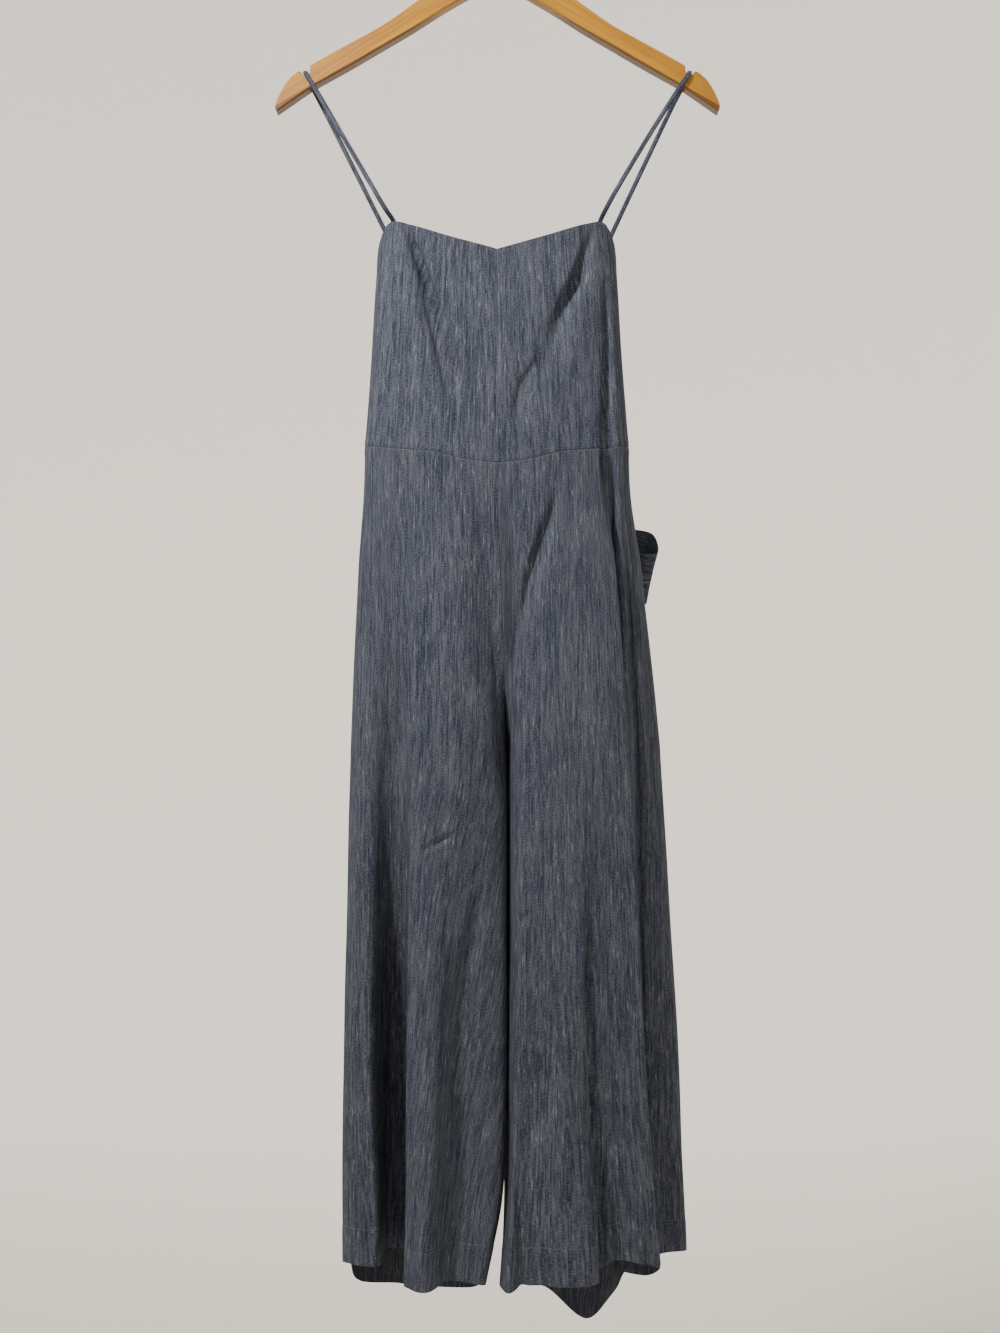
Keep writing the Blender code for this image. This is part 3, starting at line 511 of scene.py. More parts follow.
def curve_through(points, samples):
    """Places spread evenly over the gaps of a smooth open curve."""
    points = np.array(points, dtype=float)
    ends = np.vstack((points[0] * 2 - points[1], points, points[-1] * 2 - points[-2]))
    result = []
    for i in range(samples + 1):
        place = i / samples * (len(points) - 1)
        at = min(int(place), len(points) - 2)
        result.append(spline_between(ends[at:at + 4], place - at))
    return np.array(result)


def fuller(wave, power):
    """A wave between -1 and 1 with its shoulders pressed outward."""
    return np.sign(wave) * np.abs(wave) ** power


def unit(vectors):
    return vectors / np.maximum(np.linalg.norm(vectors, axis=-1, keepdims=True), 1e-9)


# The garment's surface

def column_shares(side):
    """The share of the half round at which each column of the cloth starts on the waist."""
    starts = [row[1] for row in LEG_FOLDS[side]]
    count = COLUMNS_PER_FOLD[side]
    shares = [lerp(a, b, c / count) for a, b in zip(starts, starts[1:]) for c in range(count)]
    return np.array(shares + [starts[-1]])


def fold_column(side, fold):
    """The column of the cloth that runs down a named fold."""
    names = [row[0] for row in LEG_FOLDS[side]]
    return names.index(fold) * COLUMNS_PER_FOLD[side]


def section_places(side, shares, levels):
    """x and y of the body section, a row for each level and a column for each share."""
    half_width, front_y, back_y = read_curve(SECTION_LEVELS, levels)
    angle = np.linspace(0.0, math.pi, 181)
    across = np.abs(np.sin(angle)) ** (2.0 / SECTION_POWER)
    along = np.abs(np.cos(angle)) ** (2.0 / SECTION_POWER)
    xs = []
    ys = []
    for width, front, back in zip(half_width, front_y, back_y):
        middle = lerp(front, back, SECTION_MIDDLE)
        x = width * across
        y = middle + np.where(np.cos(angle) > 0, front - middle, back - middle) * along
        run = np.concatenate(([0.0], np.cumsum(np.hypot(np.diff(x), np.diff(y)))))
        xs.append(CENTRE_X + OUTWARD_X[side] * np.interp(shares * run[-1], run, x))
        ys.append(np.interp(shares * run[-1], run, y))
    return np.array(xs), np.array(ys)


def drape_depth(x, z):
    """How far the drape grooves press the front bodice in."""
    total = np.zeros_like(x)
    for drape in DRAPES:
        path_x, half_width, depth = read_curve(drape, z)
        inside = (z >= drape[-1][0] - 30.0) & (z <= drape[0][0] + 10.0)
        total += np.where(inside, np.maximum(depth, 0.0) * np.exp(-((x - path_x) / half_width) ** 2), 0.0)
    return total


def body_places(side, shares, z):
    """Points of the bodice and waist. Each share is a column, with one z or a column of them."""
    shares = np.asarray(shares, dtype=float)
    z = np.atleast_2d(z)
    levels = np.linspace(z.min() - 1.0, z.max() + 1.0, 90)
    x, y = (
        np.stack([np.interp(z[:, c], levels, found[:, c]) for c in range(len(shares))], axis=1)
        for found in section_places(side, shares, levels)
    )
    y = y + np.where(shares < 0.5, drape_depth(x, z) * smooth((0.5 - shares) / DRAPE_FADE), 0.0)
    return np.stack((x, y, z), axis=-1)


def leg_line(side, row, steps):
    """One fold line's places at the steps: 0 is the waist, 1 the crotch and 2 the hem."""
    name, share, crotch_x, crotch_y, knee_x, knee_y, hem_x, hem_y, hem_z = row
    waist_z = float(read_curve(WAIST_LINE, share)[0])
    waist = body_places(side, [share], [[waist_z]])[0, 0]
    centre = name.startswith("centre")
    start = (crotch_x * 2 - knee_x, crotch_y * 2 - knee_y) if centre else waist[:2]
    out = OUTWARD_X[side]
    swing = INNER_SHIN_SWING if share <= 0.05 else SHIN_SWING
    table = (
        (0.0, start[0], start[1]),
        (1.0, crotch_x, crotch_y),
        (KNEE_STEP, knee_x, knee_y),
        (SHIN_STEP, lerp(knee_x, hem_x, swing), lerp(knee_y, hem_y, swing)),
        (2.0, hem_x, hem_y),
    )
    x, y = read_curve(table, steps)
    if centre:
        sway = BACK_SEAM_SWAY if name == "centre_back" else 0.0
        seam_x = lerp(waist[0], CROTCH_X, steps) + sway * np.sin(math.pi * np.minimum(steps, 1.0) ** 2)
        x = np.where(steps <= 1.0, seam_x + (crotch_x - CROTCH_X) * steps ** CROTCH_SPREAD_LATE, x)
        tuck = smooth((steps - TUCK_FROM) / TUCK_RISE) * smooth((TUCK_TO - steps) / TUCK_FALL)
        x = x - out * CROTCH_TUCK_X * tuck
        y = y - out * CROTCH_TUCK_Y * tuck
        y = np.where(steps <= 1.0, lerp(waist[1], crotch_y, steps ** SEAM_LATE), y)
    z = np.interp(steps, (0.0, 1.0, 2.0), (waist_z, CROTCH_Z, hem_z))
    return np.stack((x, y, z), axis=1)


def mirrored(seam, beside):
    """The place that would lie across the centre seam."""
    return np.stack((2 * seam[..., 0] - beside[..., 0], beside[..., 1], beside[..., 2]), axis=-1)


def beyond_ends(columns, steps):
    """The columns next to the first and last: the other side's, and from the crotch down the leg's own."""
    closing = smooth((steps - LEG_PARTS) / LEG_PARTING)[:, None]
    before = lerp(mirrored(columns[0], columns[1]), columns[-2], closing)
    after = lerp(mirrored(columns[-1], columns[-2]), columns[1], closing)
    return before, after


def leg_surface(side, steps):
    """Rows of points round one leg, the same number between each two fold lines."""
    lines = [leg_line(side, row, steps) for row in LEG_FOLDS[side]]
    before, after = beyond_ends(lines, steps)
    ends = [before] + lines + [after]
    count = COLUMNS_PER_FOLD[side]
    columns = []
    for at in range(len(lines) - 1):
        columns += [spline_between(ends[at:at + 4], c / count) for c in range(count)]
    surface = np.stack(columns + [lines[-1]], axis=1)
    shares = column_shares(side)
    waist_z = read_curve(WAIST_LINE, shares)[0]
    plain = np.repeat(body_places(side, shares, waist_z), len(steps), axis=0)
    plain[..., 2] = lerp(waist_z[None, :], CROTCH_Z, np.minimum(steps, 1.0)[:, None])
    settled = smooth(steps / FOLDS_FORM)[:, None, None]
    return lerp(plain, surface, settled)


def fine_falls():
    """Rows down the bodice, closer at its top edge and at the waist seam."""
    middle = np.linspace(0.03, 0.97, BODICE_ROWS)
    return np.concatenate(([0.0, 0.006, 0.015], middle, [0.982, 0.991, 0.996, 1.0]))


def fine_steps():
    """Rows down the leg below the waist seam, closer at the seam and at the hem."""
    upper = np.linspace(0.02, 1.0, UPPER_LEG_ROWS)
    lower = np.linspace(1.0, 1.985, LOWER_LEG_ROWS)[1:]
    return np.concatenate(([0.003, 0.007, 0.012], upper, lower, [1.993, 2.0]))


def side_surface(side):
    """One side of the garment from top edge to hem: points, outward directions and the waist's row."""
    shares = column_shares(side)
    top = read_curve(TOP_LINE, shares)[0]
    waist = read_curve(WAIST_LINE, shares)[0]
    falls = fine_falls()
    steps = fine_steps()
    bodice = body_places(side, shares, lerp(top[None, :], waist[None, :], falls[:, None]))
    surface = np.concatenate((bodice, leg_surface(side, steps)))
    before, after = beyond_ends(surface.swapaxes(0, 1), np.concatenate((falls * 0.0, steps)))
    wide = np.concatenate((before[:, None], surface, after[:, None]), axis=1)
    across = wide[:, 2:] - wide[:, :-2]
    down = np.gradient(surface, axis=0)
    normals = unit(np.cross(across, down)) * -OUTWARD_X[side]
    return surface, normals, len(falls) - 1


# Relief on the surface

def crease_relief(creases, x, z):
    """How far the creases lift the cloth at each place, each by its nearest stretch."""
    total = np.zeros_like(x)
    for path in creases.values():
        rows = np.array([(*point, 1.0)[:5] for point in path])
        nearest = np.full(x.shape, np.inf)
        lift = np.zeros_like(x)
        for a, b in zip(rows, rows[1:]):
            run = b[:2] - a[:2]
            t = np.clip(((x - a[0]) * run[0] + (z - a[1]) * run[1]) / (run @ run), 0.0, 1.0)
            off_x = x - a[0] - t * run[0]
            off_z = z - a[1] - t * run[1]
            gap = np.hypot(off_x, off_z)
            half_width, height, skew = (lerp(a[k], b[k], t) for k in (2, 3, 4))
            flank = np.minimum(np.where(off_x > 0, skew, 1.0 / skew), SKEW_LIMIT)
            here = CREASE_SCALE * height * np.exp(-(gap / (half_width * flank)) ** 2)
            nearer = gap < nearest
            nearest = np.where(nearer, gap, nearest)
            lift = np.where(nearer, here, lift)
        total += lift
    return total


def fold_relief(side, run, z):
    """Sharper edges and deeper shadows beside the named folds of one leg."""
    total = np.zeros_like(z)
    for crease_side, fold, offset, half_width, height, top, bottom in FOLD_CREASES.values():
        if crease_side != side:
            continue
        column = fold_column(side, fold)
        gap = run - run[:, column:column + 1] - offset
        reach = smooth((top - z) / FOLD_CREASE_RISE) * smooth((z - bottom) / FOLD_CREASE_END)
        total += height * reach * np.exp(-(gap / half_width) ** 2)
    return total


def ripples(x, z):
    """Slow unevenness of hanging cloth."""
    slow = np.sin(x / 19.0 + 1.4 * np.sin(z / 83.0)) * np.sin(z / 120.0 + x / 47.0)
    quick = np.sin(z / 31.0 + 2.0 * np.sin(x / 37.0)) * np.sin(x / 11.0 + z / 200.0)
    return RIPPLE_HEIGHT * (slow + 0.5 * quick)


def along_rows(points):
    """Length along each row from its first column."""
    gaps = np.linalg.norm(np.diff(points, axis=1), axis=2)
    return np.concatenate((np.zeros((len(points), 1)), np.cumsum(gaps, axis=1)), axis=1)


def relief(side, surface, waist_row):
    """How far each point of one side stands out from the plain form."""
    x = surface[..., 0]
    z = surface[..., 2]
    seam = fold_column(side, "side_seam")
    run = along_rows(surface)
    to_seam = run - run[:, seam:seam + 1]
    front = smooth(-to_seam / SIDE_FADE)
    back = smooth(to_seam / SIDE_FADE)
    lift = crease_relief(FRONT_CREASES, x, z) * front + crease_relief(BACK_CREASES, x, z) * back
    lift += ripples(x, z) + fold_relief(side, run, z)
    to_centre = np.minimum(run, run[:, -1:] - run)
    lift *= lerp(1.0, smooth(to_centre / CENTRE_FADE), smooth((CALM_FROM_Z - z) / CALM_DROP))
    to_waist = np.abs(z - z[waist_row])
    lift -= WAIST_DRAW * np.exp(-(to_waist / SEAM_REACH) ** 2)
    lift -= SEAM_DRAW * np.exp(-(to_seam / SEAM_REACH) ** 2)
    lift += WAIST_DRAW * np.exp(-((to_waist - WAIST_ROLL) / WAIST_ROLL_REACH) ** 2)
    closed = smooth((z - CROTCH_Z) / SEAM_END)
    for edge in (run, run[:, -1:] - run):
        lift -= closed * SEAM_DRAW * np.exp(-(edge / SEAM_REACH) ** 2)
    above_hem = z - z[-1]
    lift += HEM_SWELL * smooth((HEM_TURN - above_hem) / HEM_STEP)
    below_top = z[0] - z
    lift += HEM_SWELL * smooth((TOP_TURN - below_top) / HEM_STEP)
    return lift


# Meshes

def trimmed(grid):
    """The grid with its border drawn in by half of the seam gap."""
    half = SEAM_GAP / 2
    result = grid.copy()
    result[:, 0] += unit(grid[:, 1] - grid[:, 0]) * half
    result[:, -1] += unit(grid[:, -2] - grid[:, -1]) * half
    result[0] += unit(grid[1] - grid[0]) * half
    result[-1] += unit(grid[-2] - grid[-1]) * half
    return result


def quads_of(rows, columns):
    index = np.arange(rows * columns).reshape(rows, columns)
    return np.stack((index[:-1, :-1], index[:-1, 1:], index[1:, 1:], index[1:, :-1]), axis=-1).reshape(-1, 4)


def closed_round(corners, columns):
    """Corner numbers for a grid whose last column is its first one again."""
    ring = corners - corners // (columns + 1)
    return np.where(corners % (columns + 1) == columns, ring - columns, ring).tolist()


def border_of(rows, columns):
    index = np.arange(rows * columns).reshape(rows, columns)
    ring = np.concatenate((index[0], index[1:, -1], index[-1, -2::-1], index[-2:0:-1, 0]))
    return ring, np.roll(ring, -1)


def new_object(name, data):
    item = bpy.data.objects.new(name, data)
    bpy.context.scene.collection.objects.link(item)
    return item


def new_piece(node, vertices, faces, corner_uv, material, sharp_rim=True):
    """A smooth cloth piece with its map, in place of one solid."""
    name = f"cloth_{node}"
    mesh = bpy.data.meshes.new(name)
    mesh.from_pydata((vertices * MM).tolist(), [], faces)
    layer = mesh.uv_layers.new(name="cloth")
    layer.data.foreach_set("uv", (corner_uv * MM).reshape(-1).astype(np.float32))
    mesh.materials.append(material)
    mesh.shade_smooth()
    if sharp_rim:
        mesh.set_sharp_from_angle(angle=RIM_ANGLE)
    piece = new_object(name, mesh)
    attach(piece, BODY)
    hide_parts(node)
    return piece


def shell_piece(node, material, wall, outer, normals, uv, second_uv=None, split=0):
    """A closed thin shell. Quads from the split column on take second_uv."""
    rows, columns = outer.shape[:2]
    inner = outer - normals * wall
    vertices = np.concatenate((outer.reshape(-1, 3), inner.reshape(-1, 3)))
    quads = quads_of(rows, columns)
    ring, following = border_of(rows, columns)
    offset = rows * columns
    rim = np.stack((ring, following, following + offset, ring + offset), axis=1)
    corner = outer[0, 0]
    turn = np.cross(outer[0, 1] - corner, outer[1, 0] - corner) @ normals[0, 0]
    if turn > 0:
        faces = [quads, quads[:, ::-1] + offset, rim[:, ::-1]]
    else:
        faces = [quads[:, ::-1], quads + offset, rim]
    maps = uv.reshape(-1, 2)
    later = maps if second_uv is None else second_uv.reshape(-1, 2)
    corner_uv = []
    for part in faces:
        at = part % offset
        beyond = (at.min(axis=1) % columns >= split)[:, None, None]
        corner_uv.append(np.where(beyond, later[at], maps[at]).reshape(-1, 2))
    piece = new_piece(node, vertices, np.concatenate(faces).tolist(), np.concatenate(corner_uv), material)
    row = SHEETS[node] if node in SHEETS else SHEETS[node.rsplit("_", 1)[0]]
    return piece


def mark_painted_inside_shade(piece):
    """Marks the inner face of a garment panel, the later half of its points, which the cloth material darkens
    as painted shade.
    """
    half = len(piece.data.vertices) // 2
    inside = piece.data.attributes.new("inside", "FLOAT", "POINT")
    inside.data.foreach_set("value", np.repeat((0.0, 1.0), half).astype(np.float32))


# Camera, light and stage

def set_camera():
    data = bpy.data.cameras.new("Camera")
    data.sensor_fit = "HORIZONTAL"
    data.sensor_width = SENSOR_WIDTH
    data.lens = FOCAL_LENGTH
    camera = new_object("Camera", data)
    camera.location = CAMERA_PLACE
    camera.rotation_euler = (math.pi / 2, 0.0, 0.0)
    bpy.context.scene.camera = camera


def set_lights():
    for name, place, target, size, energy, colour in LIGHTS:
        data = bpy.data.lights.new(name, "AREA")
        data.shape = "DISK"
        data.size = size
        data.energy = energy
        data.color = colour
        light = new_object(name, data)
        light.location = place
        aim = np.array(target) - np.array(place)
        pitch = math.atan2(math.hypot(aim[0], aim[1]), -aim[2])
        light.rotation_euler = (pitch, 0.0, math.atan2(aim[1], aim[0]) - math.pi / 2)
    world = bpy.data.worlds.new("World")
    world.use_nodes = True
    background = world.node_tree.nodes["Background"]
    background.inputs["Color"].default_value = SKY_COLOUR
    background.inputs["Strength"].default_value = SKY_STRENGTH
    bpy.context.scene.world = world


def build_stage():
    """A floor that curves up into a pale wall all round, open at the top, glowing as painted light."""
    bend = math.pi / 2 * np.arange(1, BOWL_STEPS + 1) / BOWL_STEPS
    rim = BOWL_FLAT + BOWL_CURVE
    radii = np.concatenate(([0.01, BOWL_FLAT], BOWL_FLAT + BOWL_CURVE * np.sin(bend), [rim]))[:, None]
    heights = np.concatenate(([0.0, 0.0], BOWL_CURVE * (1 - np.cos(bend)), [BOWL_HEIGHT]))[:, None]
    turn = 2 * math.pi * np.arange(BOWL_TURNS) / BOWL_TURNS
    parts = np.broadcast_arrays(radii * np.cos(turn), radii * np.sin(turn), FLOOR_Z + heights)
    vertices = np.stack(parts, axis=-1).reshape(-1, 3).tolist()
    faces = closed_round(quads_of(len(radii), BOWL_TURNS + 1), BOWL_TURNS)
    faces.append(tuple(range(BOWL_TURNS - 1, -1, -1)))
    mesh = bpy.data.meshes.new("Stage")
    mesh.from_pydata(vertices, [], faces)
    mesh.shade_smooth()
    mesh.materials.append(stage_material())
    new_object("Stage", mesh)


# Materials

def feed(tree, item, socket):
    if isinstance(item, bpy.types.NodeSocket):
        tree.links.new(item, socket)
    else:
        socket.default_value = item


def add_node(tree, kind, settings, inputs):
    """A node whose inputs hold values or are linked to other nodes."""
    node = tree.nodes.new(kind)
    for key, value in settings.items():
        setattr(node, key, value)
    for key, value in inputs.items():
        feed(tree, getattr(value, "socket", value), node.inputs[key])
    return node


class Value:
    """The output of a shader node, with arithmetic that adds Math nodes."""

    def __init__(self, surface, socket):
        self.surface = surface
        self.socket = socket

    def __add__(self, other):
        return self.surface.maths("ADD", self, other)

    def __radd__(self, other):
        return self.surface.maths("ADD", other, self)

    def __sub__(self, other):
        return self.surface.maths("SUBTRACT", self, other)

    def __rsub__(self, other):
        return self.surface.maths("SUBTRACT", other, self)

    def __mul__(self, other):
        return self.surface.maths("MULTIPLY", self, other)

    def __truediv__(self, other):
        return self.surface.maths("DIVIDE", self, other)

    def between(self, low, high):
        """0 below low, 1 above high and a soft step between."""
        return self.surface.add(
            "ShaderNodeMapRange",
            {"interpolation_type": "SMOOTHSTEP"},
            {"Value": self, "From Min": low, "From Max": high},
        )


class Surface:
    """A material under construction round one Principled shader."""

    def __init__(self, name, shader_inputs):
        self.material = bpy.data.materials.new(name)
        self.material.use_nodes = True
        self.tree = self.material.node_tree
        self.feed_shader(shader_inputs)

    def feed_shader(self, inputs):
        sockets = self.tree.nodes["Principled BSDF"].inputs
        for name, item in inputs.items():
            feed(self.tree, getattr(item, "socket", item), sockets[name])
        return self.material

    def add(self, kind, settings, inputs, output=0):
        return Value(self, add_node(self.tree, kind, settings, inputs).outputs[output])

    def maths(self, operation, *items):
        return self.add("ShaderNodeMath", {"operation": operation}, dict(enumerate(items)))

    def object_place(self):
        return self.add("ShaderNodeTexCoord", {}, {}, "Object")

    def noise(self, vector, scale, detail, roughness=0.5):
        inputs = {"Scale": scale, "Detail": detail, "Roughness": roughness, "Distortion": 0.0}
        return self.add("ShaderNodeTexNoise", {}, {"Vector": vector, **inputs})

    def grain(self, x, y, z, detail, roughness=0.5):
        """Noise over a place that is given by its three parts."""
        vector = self.add("ShaderNodeCombineXYZ", {}, {"X": x, "Y": y, "Z": z})
        return self.noise(vector, 1.0, detail, roughness)

    def mix(self, factor, first, second):
        return self.add("ShaderNodeMix", {"data_type": "RGBA"}, {0: factor, 6: first, 7: second}, 2)

    def scale_colour(self, colour, factor):
        inputs = {"Vector": colour, "Scale": factor}
        return self.add("ShaderNodeVectorMath", {"operation": "SCALE"}, inputs)

    def split(self, vector):
        node = add_node(self.tree, "ShaderNodeSeparateXYZ", {}, {0: vector})
        return [Value(self, output) for output in node.outputs]

    def bump(self, height, distance, strength=1.0, normal=None):
        inputs = {"Height": height, "Distance": distance, "Strength": strength}
        if normal is not None:
            inputs["Normal"] = normal
        return self.add("ShaderNodeBump", {}, inputs)


def chambray_material():
    """Slub chambray: yarns that run paler and darker along the warp, over a fine plain weave, with painted
    shade darkening the inner face of the garment panels.
    """
    surface = Surface("Slate slub chambray", {"Roughness": 0.9, "Specular IOR Level": 0.2})
    place = surface.add("ShaderNodeUVMap", {"uv_map": "cloth"}, {})
    u, v = surface.split(place)[:2]
    u = u / MM
    v = v / MM
    sway = surface.grain(u / 30.0, v / 90.0, 0.0, 1.0)
    u = u + (sway - 0.5) * 1.2
    grains = []
    tone = 0.5
    for width, length, seed, weight in YARN_SETS:
        yarn = surface.maths("FLOOR", u / width)
        grains.append(surface.grain(yarn * 3.71 + seed, v / length + yarn * 0.37, 0.0, 1.0))
        tone = tone + (grains[-1] - 0.5) * weight
    for across, along, seed, detail, weight in CLOTH_GRAINS:
        grains.append(surface.grain(u / across, v / along, seed, detail))
        tone = tone + (grains[-1] - 0.5) * weight
    long_run, short_run, coarse_run, weft, grit = grains[:5]
    colour = surface.mix(tone.between(-0.05, 1.15), CLOTH_DARK, CLOTH_BASE)
    slub = (short_run * 0.8 + coarse_run * 0.2).between(0.61, 0.76)
    colour = surface.mix(slub * 0.5, colour, CLOTH_LIGHT)
    # Painted shade: the inner face of the garment panels is darkened to stand for its own shade
    inside = surface.add("ShaderNodeAttribute", {"attribute_name": "inside"}, {}, "Fac")
    colour = surface.scale_colour(colour, 1.0 - inside * INSIDE_PAINTED_SHADE)
    height = long_run * 0.4 + short_run * 0.6 + weft * 0.35 + grit * 0.5
    crumple = surface.grain(u / 16.0, v / 24.0, 1.0, 4.0, 0.62)
    low = (0.0 - v).between(*CRUMPLE_GROWS)
    normal = surface.bump(crumple * (1.0 + low * CRUMPLE_GROWTH), 0.0022, 0.55)
    normal = surface.bump(height, 0.00022, 0.6, normal)
    return surface.feed_shader({"Base Color": colour, "Normal": normal})


def thread_material():
    surface = Surface("Pale sewing thread", {"Roughness": 0.7})
    twist = surface.noise(surface.object_place(), 900.0, 2.0)
    colour = surface.scale_colour(THREAD_PALE, 0.7 + twist * 0.6)
    return surface.feed_shader({"Base Color": colour})


def wood_material():
    """Varnished wood with the grain along each arm, darker tips and painted shade on the underside of the
    arms.
    """
    shine = {"Specular IOR Level": 0.35, "Coat Weight": 0.25, "Coat Roughness": 0.2}
    surface = Surface("Varnished honey wood", shine)
    x, y, z = surface.split(surface.object_place())
    side = surface.maths("ABSOLUTE", x)
    along = side * math.cos(ARM_ANGLE) - z * math.sin(ARM_ANGLE)
    across = side * math.sin(ARM_ANGLE) + z * math.cos(ARM_ANGLE)
    offset = surface.maths("SIGN", x) * 0.7
    sway = surface.grain(along * 14.0, across * 30.0, offset, 2.0)
    bent = (across + sway * 0.006) * 420.0
    lines = surface.grain(along * 9.0 + offset, bent, y * 160.0, 4.0, 0.6)
    broad = surface.grain(along * 7.0 + offset, across * 70.0, y * 40.0, 3.0)
    pores = surface.grain(along * 90.0, across * 1500.0, y * 900.0, 1.0)
    colour = surface.mix((lines * 0.65 + broad * 0.5).between(0.38, 0.78), WOOD_PALE, WOOD_TAN)
    colour = surface.mix(pores.between(0.62, 0.72) * 0.35, colour, WOOD_PORES_AND_SHADE)
    colour = surface.mix(along.between(*TIP_FADE) * 0.55, colour, WOOD_TAN)
    # Painted shade: the underside of each arm and a thin band along the front face's lower edge are darkened,
    # standing for shade under light from above
    over_edge = across - (along - UNDERSIDE_ALONG) * UNDERSIDE_SLOPE - UNDERSIDE_ACROSS
    under = 1.0 - over_edge.between(*UNDERSIDE_PAINTED_SHADE_EDGE)
    colour = surface.mix(under * 0.8, colour, WOOD_PORES_AND_SHADE)
    normal = surface.bump(lines, 0.0001, 0.25)
    shading = {"Base Color": colour, "Normal": normal, "Roughness": 0.26 + broad * 0.16}
    return surface.feed_shader(shading)


def steel_material():
    surface = Surface("Polished steel wire", {"Metallic": 1.0})
    smear = surface.noise(surface.object_place(), 240.0, 3.0)
    colour = surface.scale_colour(STEEL_COLOUR, 0.85 + smear * 0.3)
    return surface.feed_shader({"Base Color": colour, "Roughness": 0.12 + smear * 0.18})


def stage_material():
    plain = {"Base Color": STAGE_COLOUR, "Roughness": 0.9, "Specular IOR Level": 0.1}
    surface = Surface("Pale glowing backdrop", {**plain, "Emission Strength": STAGE_GLOW})
    # Painted light: the backdrop glows, fully behind the garment, hardly at all in front of it, and less
    # towards the floor
    y, z = surface.split(surface.object_place())[1:]
    behind = y.between(0.4, 2.6)
    low = (0.0 - z).between(0.0, 3.6)
    glow = (STAGE_GLOW_FRONT + behind * (1.0 - STAGE_GLOW_FRONT)) * (1.0 - low * 0.15)
    shade = surface.scale_colour(STAGE_COLOUR[:3], glow)
    return surface.feed_shader({"Emission Color": shade})


# Garment pieces

def cloth_map(side, surface, waist_row):
    """Two cloth maps in millimetres: threads that follow the folds, and the left front's leaning ones."""
    run = along_rows(surface)
    z = surface[..., 2]
    out = OUTWARD_X[side]
    parts = (run[:waist_row + 1], run[waist_row + 1:])
    steady = np.concatenate([np.broadcast_to(part.mean(axis=0), part.shape) for part in parts])
    anchor = fold_column(side, "lobe_edge")
    drop = np.maximum(LEAN_FROM_Z - z, 0.0)
    drawn = (run - run[:, anchor, None]) / (1.0 - LEAN_DRAW_IN * smooth(drop / LEAN_FULL_DROP))
    leaning = drawn + surface[:, anchor, 0, None] * out - LEAN_SHEAR * drop * smooth(drop / LEAN_ONSET)
    return np.stack((steady * out, z), axis=-1), np.stack((leaning * out, z), axis=-1)


def build_garment(cloth):
    """The four leg panels and the two bodice panels. Gives back each side's outer surface."""
    halves = {"front_bodice": [], "back_bodice": []}
    sides = {}
    for side in ("left", "right"):
        surface, normals, waist_row = side_surface(side)
        outer = surface + normals * relief(side, surface, waist_row)[..., None]
        steady, leaning = cloth_map(side, surface, waist_row)
        sides[side] = (outer, normals, waist_row)
        seam = fold_column(side, "side_seam")
        last = outer.shape[1]
        for label, first, end in (("front", 0, seam + 1), ("back", seam, last)):
            name = f"{label}_leg_{side}"
            part = (slice(waist_row, None), slice(first, end))
            first_map = leaning if name == "front_leg_left" else steady
            panel = (trimmed(outer[part]), normals[part], first_map[part], steady[part])
            split = fold_column(side, "turn_back")
            mark_painted_inside_shade(shell_piece(name, cloth, CLOTH_THICKNESS, *panel, split))
        for label, columns in (("front", slice(seam, None, -1)), ("back", slice(seam, last))):
            part = (slice(0, waist_row + 1), columns)
            halves[f"{label}_bodice"].append([a[part] for a in (outer, normals, steady)])
    for name, (left, right) in halves.items():
        grid, normals, maps = (
            np.concatenate((a, b[:, ::-1][:, 1:]), axis=1) for a, b in zip(left, right)
        )
        mark_painted_inside_shade(shell_piece(name, cloth, CLOTH_THICKNESS, trimmed(grid), normals, maps))
    return sides


def strap_route(side):
    """The strap's centre line, with both ends tucked in behind the bodice's edges."""
    ends = []
    for share, inward in ((STRAP_FRONT_SHARE, 1.0), (STRAP_BACK_SHARE, -1.0)):
        edge_z = float(read_curve(TOP_LINE, share)[0])
        edge = body_places(side, [share], [[edge_z]])[0, 0]
        ends.append(edge + np.array((0.0, inward * (CLOTH_THICKNESS + STRAP_THICKNESS / 2), 0.0)))
    down = np.array((0.0, 0.0, -STRAP_TUCK))
    return np.vstack((ends[0] + down, ends[0], STRAP_ROUTES[side], ends[1], ends[1] + down))


def build_strap(side, cloth):
    """A strap sewn into a flat tube, swept along its way over the hanger."""
    centres = curve_through(strap_route(side), STRAP_SAMPLES)
    ahead = unit(np.gradient(centres, axis=0))
    level = np.array((1.0, 0.0, 0.0))
    broad = unit(level - ahead * (ahead @ level)[:, None])
    thick = unit(np.cross(ahead, broad))
    angle = np.linspace(STRAP_SLIT, 2 * math.pi - STRAP_SLIT, STRAP_SIDES + 1)
    half_width = STRAP_WIDTH / 2
    half_thickness = STRAP_THICKNESS / 2
    reach = fuller(np.cos(angle), STRAP_POWER) * half_width
    rise = fuller(np.sin(angle), STRAP_POWER) * half_thickness
    grid = centres[:, None] + broad[:, None] * reach[None, :, None]
    grid = grid + thick[:, None] * rise[None, :, None]
    normals = broad[:, None] * (np.cos(angle) / half_width)[None, :, None]
    normals = unit(normals + thick[:, None] * (np.sin(angle) / half_thickness)[None, :, None])
    run = along_rows(centres[None])[0]
    across = along_rows(grid)
    maps = np.stack((across + MAP_STARTS["strap"], run[:, None] + 0.0 * across), axis=-1)
    shell_piece(f"strap_{side}", cloth, STRAP_CLOTH, grid, normals, maps)


# Tie and bow

